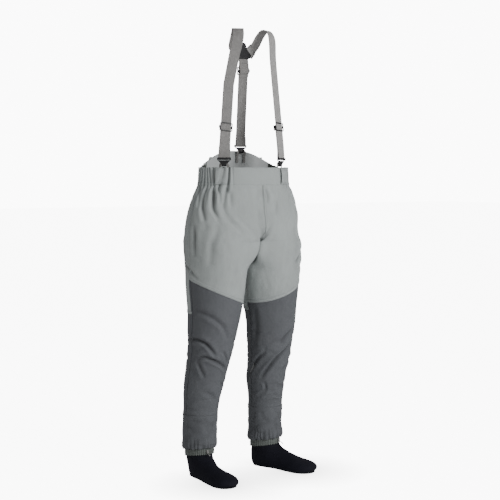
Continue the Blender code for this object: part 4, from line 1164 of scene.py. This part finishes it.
def ribbon(name, frames, width, material, thickness=STRAP, edge=0.0004):
    """A flat strap whose frames run along its middle, downwards."""
    k = np.linspace(-0.5, 0.5, 9)
    rows = np.array([[list(f @ Vector((width * v, 0, 0))) for v in k] for f in frames])
    rows = rows + FOOTPRINT
    uv = stack((width * k)[None], run_length(rows[:, 4])[:, None], 0.0)[..., :2]
    made = grid_object(name, rows, material, thickness, 0.0, uv=uv)
    soften(made, edge)
    return made


def band_frame(turn, height, inset):
    point, normal = (Vector(v) for v in band_point(turn, height))
    point -= Vector(FOOTPRINT)
    facing = math.atan2(normal.x, -normal.y)
    return axes(point - normal * inset, lateral(facing), Vector((0, 0, 1)))


def clip_frames():
    frames = {}
    for side, sign in SIDES.items():
        turn = math.radians(CLIP_TURN * sign) + WAIST_TWIST
        frames[side] = band_frame(turn, RIM_Z, 0.0010)
        frames[side].translation.z = CLIP_Z
    frames["back"] = band_frame(math.radians(BACK_CLIP_TURN), RIM_Z + BACK_RISE, 0.0092)
    frames["back"].translation.z = BACK_CLIP_Z
    return frames


def straight_run(name, clip):
    foot = clip @ Vector((0, -LOOP_R, 0.0016))
    if name == "back":
        head = Vector((LEAN + 0.001, YOKE_Y, YOKE_Z - 0.012))
        across = Vector((-1, 0, 0))
        shares = (0.04, 0.80)
    else:
        head = Vector(STRAP_HEAD[name])
        across = lateral(math.radians(STRAP_FACING[name]))
        shares = (0.0, 0.77)
    top, bottom = (head.lerp(foot, share) for share in shares)
    return top, bottom, foot, axes(top, across, top - bottom)


def part_way(turns, places, turn_share, place_share):
    """A frame between two, whose turn and place can have come different ways along."""
    found = turns[0].slerp(turns[1], float(turn_share)).to_matrix().to_4x4()
    found.translation = places[0].lerp(places[1], place_share)
    return found


def lower_frames(name, clip):
    """Frames down a strap's straight stretch, and on down to its clip, by share."""
    top, bottom, foot, straight = straight_run(name, clip)
    run = []
    for share in np.linspace(0, 1, RUN_STEPS):
        placed = straight.copy()
        placed.translation = top.lerp(bottom, share)
        run.append(placed)
    turns = straight.to_quaternion(), clip.to_quaternion()
    approach = [
        (share, part_way(turns, (bottom, foot), smoothstep(0, 1, share), share))
        for share in np.linspace(0, 1, APPROACH_STEPS)[1:]
    ]
    return run, approach


def path_frames(base, path):
    frames = []
    points = [base @ Vector((0, -out, up)) for out, up in path]
    across = base.to_3x3() @ Vector((1, 0, 0))
    for i, point in enumerate(points):
        before, after = points[max(i - 1, 0)], points[min(i + 1, len(points) - 1)]
        frames.append(axes(point, across, before - after))
    return frames


def wrap_path(radius, steps=14):
    return [
        (radius * math.cos(math.pi * i / steps), -radius * math.sin(math.pi * i / steps))
        for i in range(steps + 1)
    ]


def shoulder_frames(side):
    sign = SIDES[side]
    lean = math.radians(YOKE_SPREAD) * sign
    up_and_out = Vector((math.sin(lean), 0, math.cos(lean)))
    start = Vector((LEAN + sign * 0.0185, YOKE_Y, YOKE_Z + 0.0030))
    keys = [
        (*start, 0),
        (*(start + up_and_out * 0.014), 0),
        (*(start + up_and_out * 0.027), 0),
        (*(start + up_and_out * 0.040 + Vector((0, -0.005, 0))), sign * 6),
        (LEAN + sign * 0.0490, YOKE_Y - 0.027, 1.4690, sign * 20),
        (LEAN + sign * 0.0560, YOKE_Y - 0.046, BRACES_TOP_Z, sign * 28),
        (LEAN * 0.9 + sign * 0.0630, YOKE_Y - 0.063, 1.4780, sign * 24),
        (LEAN * 0.8 + sign * 0.0685, YOKE_Y - 0.072, 1.4500, sign * 18),
        (LEAN * 0.5 + sign * 0.0780 - 0.004, YOKE_Y - 0.0755, 1.3900, STRAP_FACING[side]),
        (*STRAP_HEAD[side], STRAP_FACING[side]),
    ]
    points = [[float(v) for v in p] for p in curve_through(keys, 9)]
    frames = []
    for i, (x, y, z, facing) in enumerate(points[:-1]):
        before = Vector(points[max(i - 1, 0)][:3])
        after = Vector(points[i + 1][:3])
        across = lateral(math.radians(facing))
        if y > YOKE_Y - 0.046:
            across = Vector((across.x, across.y * 0.3, 0))
        frames.append(axes(Vector((x, y, z)), across, before - after))
    return frames


def adjuster_frame(name, clip):
    top, bottom, _, placed = straight_run(name, clip)
    share = (ADJUSTER_Z[name] - top.z) / (bottom.z - top.z)
    placed.translation = top.lerp(bottom, share)
    return placed


def behind(placed, distance):
    moved = placed.copy()
    moved.translation = placed @ Vector((0, distance, 0))
    return moved


def make_braces():
    clips = clip_frames()
    for side in SIDES:
        clip = clips[side]
        run, approach = lower_frames(side, clip)
        path = shoulder_frames(side) + run + [f for _, f in approach]
        # Painted light: the left strap takes the lighter copy of the webbing.
        colour = "webbing" if side == "right" else "painted_lit_webbing"
        strap = ribbon(f"{side}_brace", path, STRAP_WIDTH, colour)
        place_piece(strap, "waders", "webbing", f"{side}_shoulder_strap")
        under = path_frames(clip, [(LOOP_R, 0.0012), *wrap_path(LOOP_R)])
        back = []
        for share, placed in approach[::-1]:
            if share <= 0.78:
                gap = np.interp(share, [0, 0.25, 0.5, 0.75], [LAYER, LAYER, 0.0027, 0.0042])
                back.append(behind(placed, float(gap)))
        back.append(behind(run[-1], LAYER))
        centre = adjuster_frame(side, clip)
        bar_out = -(LAYER + LOOP_R)
        over = [(-LAYER, -0.012), (-LAYER, -0.006), (-LAYER, -0.001)]
        over += [
            (bar_out + LOOP_R * math.cos(math.pi * i / 10), LOOP_R * math.sin(math.pi * i / 10))
            for i in range(1, 11)
        ]
        over.append((bar_out - LOOP_R, -0.012))
        end = path_frames(centre, over)
        made = ribbon(f"{side}_return", under + spread(back, end[0]) + end, STRAP_WIDTH, colour)
        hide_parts(f"{side}_strap_return")
        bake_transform(made)
    make_back_strap(clips["back"])
    for name, clip in clips.items():
        for part in (f"{name}_adjuster", f"{name}_clip"):
            soften(copy_node(f"{part}_body", part, "plastic", "plastic", part), 0.0005, angle=30)
        make_clip_loop(name, clip)
    for layer in ("outer", "inner"):
        patch = copy_node(f"{layer}_patch", f"{layer}_yoke", "yoke", "yoke", "waders")
        soften(patch, 0.0005, angle=40)
    make_yoke_stitches()


def spread(frames, last):
    """The frames, with more between the last of them and the next one."""
    start = frames[-1]
    turns = start.to_quaternion(), last.to_quaternion()
    places = start.translation, last.translation
    shares = np.linspace(0, 1, SPREAD_STEPS)[1:-1]
    return frames + [part_way(turns, places, share, share) for share in shares]


def make_back_strap(clip):
    run, approach = lower_frames("back", clip)
    head = [
        axes(Vector((LEAN, YOKE_Y, YOKE_Z + rise)), Vector((-1, 0, 0)), Vector((0, 0, 1)))
        for rise in (-0.0080, -0.0125)
    ]
    under = path_frames(clip, wrap_path(LOOP_R))
    back = []
    for share, placed in approach[::-1]:
        if 0.48 <= share <= 0.78:
            back.append(behind(placed, float(np.interp(share, [0.5, 0.75], [0.0024, 0.0042]))))
    path = head + run + [f for _, f in approach] + under + back
    strap = ribbon("back_brace", path, STRAP_WIDTH, "webbing")
    place_piece(strap, "waders", "webbing", "back_strap")
    adjuster = adjuster_frame("back", clip)
    over_bar = -(LAYER + 2 * LOOP_R)
    tail = [(-LAYER, 0.024), (-0.0032, 0.013), (over_bar, 0.003), (over_bar, -0.003)]
    tail += [(-0.0032, -0.013), (-LAYER, -0.022)]
    smooth = [(float(a), float(b)) for a, b in curve_through(tail, 5)]
    made = ribbon("back_tail", path_frames(adjuster, smooth), STRAP_WIDTH, "webbing")
    place_piece(made, "back_adjuster", "webbing", "back_strap_tail")


def make_clip_loop(name, clip):
    radius, corner, top = 0.0130, 0.0045, -0.0178
    tip = [(-radius, top - down) for down in (0.040, 0.036, 0.031, 0.026, 0.020, 0.014, 0.009)]
    for i in range(9):
        angle = math.pi / 2 * i / 8
        tip.append((-radius + corner * (1 - math.cos(angle)), top - corner * (1 - math.sin(angle))))
    tip += [(-x, z) for x, z in tip[::-1]]
    lean = 0.0056 if name == "back" else 0.0
    frames = []
    for i, (x, z) in enumerate(tip):
        before, after = tip[max(i - 1, 0)], tip[min(i + 1, len(tip) - 1)]
        along = Vector((before[0] - after[0], 0, before[1] - after[1])).normalized()
        across = Vector((-along.z, 0, along.x))
        y = 0.0059 - lean * float(smoothstep(0.024, 0.036, -z))
        local = Matrix((across, along.cross(across), along)).transposed().to_4x4()
        local.translation = (x, y, z)
        frames.append(clip @ local)
    made = ribbon(f"{name}_loop", frames, 0.0076, "webbing", 0.0012, 0.0003)
    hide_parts(f"{name}_clip_loop")
    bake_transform(made)


def make_yoke_stitches():
    outline = [(0.0, 0.0450), (-0.0150, 0.0190), (-0.0290, -0.0020), (0.0, -0.0090)]
    outline += [(0.0290, -0.0020), (0.0150, 0.0190), (0.0, 0.0450)]
    shape = curve_through(outline, 14)
    centre = np.array((0.0, 0.008))
    for name, sign in (("outer", 1), ("inner", -1)):
        for ring, keep in (("edge", 0.88), ("inner", 0.72)):
            flat = centre + (shape - centre) * keep
            y = sign * (STRAP / 2 + 0.0004 + 0.0018)
            points = stack(flat[:, 0] + LEAN, y + YOKE_Y, flat[:, 1] + YOKE_Z) + FOOTPRINT
            normals = np.tile((0.0, float(sign), 0.0), (len(points), 1))
            sew(f"{name}_yoke_{ring}_stitches", points, normals)


def make_lace_hook(side):
    fold = WIRE_R + 0.0004 + TAB / 2
    ahead = 0.0551 + GAP + TAB / 2 + fold
    origin = Vector(on_foot(side, 0.0, ahead, HOOK_Z)) - Vector(FOOTPRINT)
    base = axes(origin, lateral(TOE_OUT[side]), Vector((0, 0, 1)))
    path = [(-fold, 0.0085), (-fold, 0.004), *reversed(wrap_path(fold)), (fold, 0.004)]
    tab = ribbon(f"{side}_hook_tab", path_frames(base, path), 0.0070, "webbing", TAB, 0.0003)
    place_piece(tab, f"{side}_cuff", "webbing", f"{side}_lace_hook_tab")
    wire = [
        (-0.0046, 0.0000, 0.0000),
        (0.0046, 0.0000, 0.0000),
        (0.0052, 0.0045, -0.0020),
        (0.0030, 0.0130, -0.0060),
        (0.0000, 0.0160, -0.0074),
        (-0.0030, 0.0148, -0.0050),
        (-0.0030, 0.0105, -0.0010),
    ]
    smooth = curve_through(wire, 8).tolist()
    line = [base @ Vector((x, -out, up)) + Vector(FOOTPRINT) for x, out, up in smooth]
    made = round_wire(f"{side}_wire", line, WIRE_R)
    place_piece(made, f"{side}_lace_hook", "steel", f"{side}_lace_hook")


def round_wire(name, line, radius):
    data = bpy.data.curves.new(name, "CURVE")
    data.dimensions = "3D"
    data.bevel_depth, data.bevel_resolution, data.use_fill_caps = radius, 4, True
    spline = data.splines.new("POLY")
    spline.points.add(len(line) - 1)
    for point, place in zip(spline.points, line):
        point.co = (*place, 1.0)
    holder = link(name, data)
    graph = bpy.context.evaluated_depsgraph_get()
    mesh = bpy.data.meshes.new_from_object(holder.evaluated_get(graph))
    bpy.data.objects.remove(holder)
    return new_object(name, mesh, "steel")


def make_tapes():
    """The bonded tapes inside the middle seam and the inseams."""
    inset, thickness = 0.0045, 0.0004
    for name in ("front", "back"):
        rows = []
        for height in np.linspace(BAND_Z - 0.004, CROTCH_Z + 0.070, 30):
            row = []
            for k in (-0.030, -0.015, 0.0, 0.015, 0.030):
                side = "left" if k >= 0 else "right"
                share = np.array([abs(k) + 0.002 if name == "front" else 1 - abs(k) - 0.002])
                point = trouser_point(side, share, height)
                row.append((point - 0.0042 * outward(side, share, np.array([height])))[0])
            row[2][0] = FOOTPRINT[0]
            rows.append(row if name == "front" else row[::-1])
        made = grid_object(f"{name}_tape", rows, "tape", thickness)
        place_piece(made, "waders", "seam_tape", f"{name}_seam_tape")
    for side in SIDES:
        height = np.linspace(CROTCH_Z - 0.015, GUARD_TOP_Z + 0.035, 90)[:, None]
        share = np.array((-0.025, -0.012, 0.0, 0.012, 0.025))[None] + 0 * height
        height = height + 0 * share
        points = trouser_point(side, share, height) - inset * outward(side, share, height)
        (points,) = facing_out(side, points)
        made = grid_object(f"{side}_inside_tape", points, "tape", thickness)
        place_piece(made, "waders", "seam_tape", f"{side}_inseam_tape")


# Camera, floor and light --------------------------------------------------


WHITE = (1.0, 1.0, 1.0, 1.0)
# How bright the surroundings and the floor are to the camera, and the sky's own light.
SKY_SEEN, SKY_LIGHT, FLOOR_GLOW = 10.0, 0.42, 9.0
FLOOR_HALF, FLOOR_Z = 30.0, -0.0002
# A painted shadow round each foot: where it lies, and how the floor's glow is dimmed near it.
PAINTED_SHADOW_SPOTS = ((-0.145, -0.06, 0.0), (0.165, -0.05, 0.0))
FOOT_SHADE = (0.05, 0.26, 0.40, 1.0)  # from one distance to another, one glow to another
LENS, CAMERA_TURN, CAMERA_DOWN = 86.4, math.radians(-35), math.radians(3.6)
CAMERA_SIDE, CAMERA_AWAY, CAMERA_HEIGHT = 0.0233, 4.0, 1.01


def make_camera():
    data = bpy.data.cameras.new("camera")
    data.sensor_width, data.lens = 36.0, LENS
    camera = link("camera", data)
    side = Vector((math.cos(CAMERA_TURN), math.sin(CAMERA_TURN), 0)) * CAMERA_SIDE
    back = Vector((math.sin(CAMERA_TURN), -math.cos(CAMERA_TURN), 0)) * CAMERA_AWAY
    camera.location = Vector(FOOTPRINT) + side + back + Vector((0, 0, CAMERA_HEIGHT))
    camera.rotation_euler = (math.radians(90) - CAMERA_DOWN, 0, CAMERA_TURN)
    bpy.context.scene.camera = camera


def make_floor():
    mesh = bpy.data.meshes.new("floor")
    signs = ((-1, -1), (1, -1), (1, 1), (-1, 1))
    corners = [(x * FLOOR_HALF, y * FLOOR_HALF, FLOOR_Z) for x, y in signs]
    mesh.from_pydata(corners, [], [(0, 1, 2, 3)])
    floor = link("floor", mesh)
    made, tree, shader = start_material("pale_floor", 0.55)
    shader.inputs["Base Color"].default_value = (0.93, 0.93, 0.93, 1.0)
    shader.inputs["Emission Color"].default_value = WHITE
    seen = add_node(tree, "ShaderNodeLightPath").outputs["Is Camera Ray"]
    # Painted shadow: the floor's glow is dimmed round each foot.
    glow = math_node(tree, "MULTIPLY", seen, FLOOR_GLOW)
    place = object_place(tree)
    for foot in PAINTED_SHADOW_SPOTS:
        away = add_node(tree, "ShaderNodeVectorMath", {0: place}, operation="DISTANCE")
        away.inputs[1].default_value = foot
        limits = dict(zip(("From Min", "From Max", "To Min", "To Max"), FOOT_SHADE))
        inputs = {"Value": away.outputs["Value"], **limits}
        shadow_dimming = add_node(tree, "ShaderNodeMapRange", inputs)
        glow = math_node(tree, "MULTIPLY", glow, shadow_dimming.outputs["Result"])
    tree.links.new(glow, shader.inputs["Emission Strength"])
    mesh.materials.append(made)


def make_stage():
    make_camera()
    make_floor()
    world = bpy.data.worlds.new("studio")
    world.use_nodes = True
    # The surroundings look white and light the piece softly.
    tree = world.node_tree
    sky = tree.nodes["Background"]
    sky.inputs["Color"].default_value = WHITE
    seen = add_node(tree, "ShaderNodeLightPath").outputs["Is Camera Ray"]
    strength = math_node(tree, "ADD", math_node(tree, "MULTIPLY", seen, SKY_SEEN), SKY_LIGHT)
    tree.links.new(strength, sky.inputs["Strength"])
    bpy.context.scene.world = world
    lamp("key", (1.2, -4.2, 2.1), (0.0, 0.0, 0.62), 1.6, 160.0)
    lamp("fill", (-3.2, -2.0, 1.6), (0.0, 0.0, 0.7), 2.5, 4.0)
    lamp("rim", (0.5, 3.0, 2.6), (0.0, 0.0, 0.9), 2.0, 20.0)


def lamp(name, place, target, size, power):
    data = bpy.data.lights.new(name, "AREA")
    data.shape, data.size, data.energy = "SQUARE", size, power
    made = link(name, data)
    made.location = place
    made.rotation_euler = (Vector(target) - Vector(place)).to_track_quat("-Z", "Y").to_euler()


make_stage()
make_shell()
make_seams()
make_waist()
make_tapes()
make_feet()
make_braces()
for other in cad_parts.values():
    if not other.hide_render:
        print("CAD node still shown:", other.name)
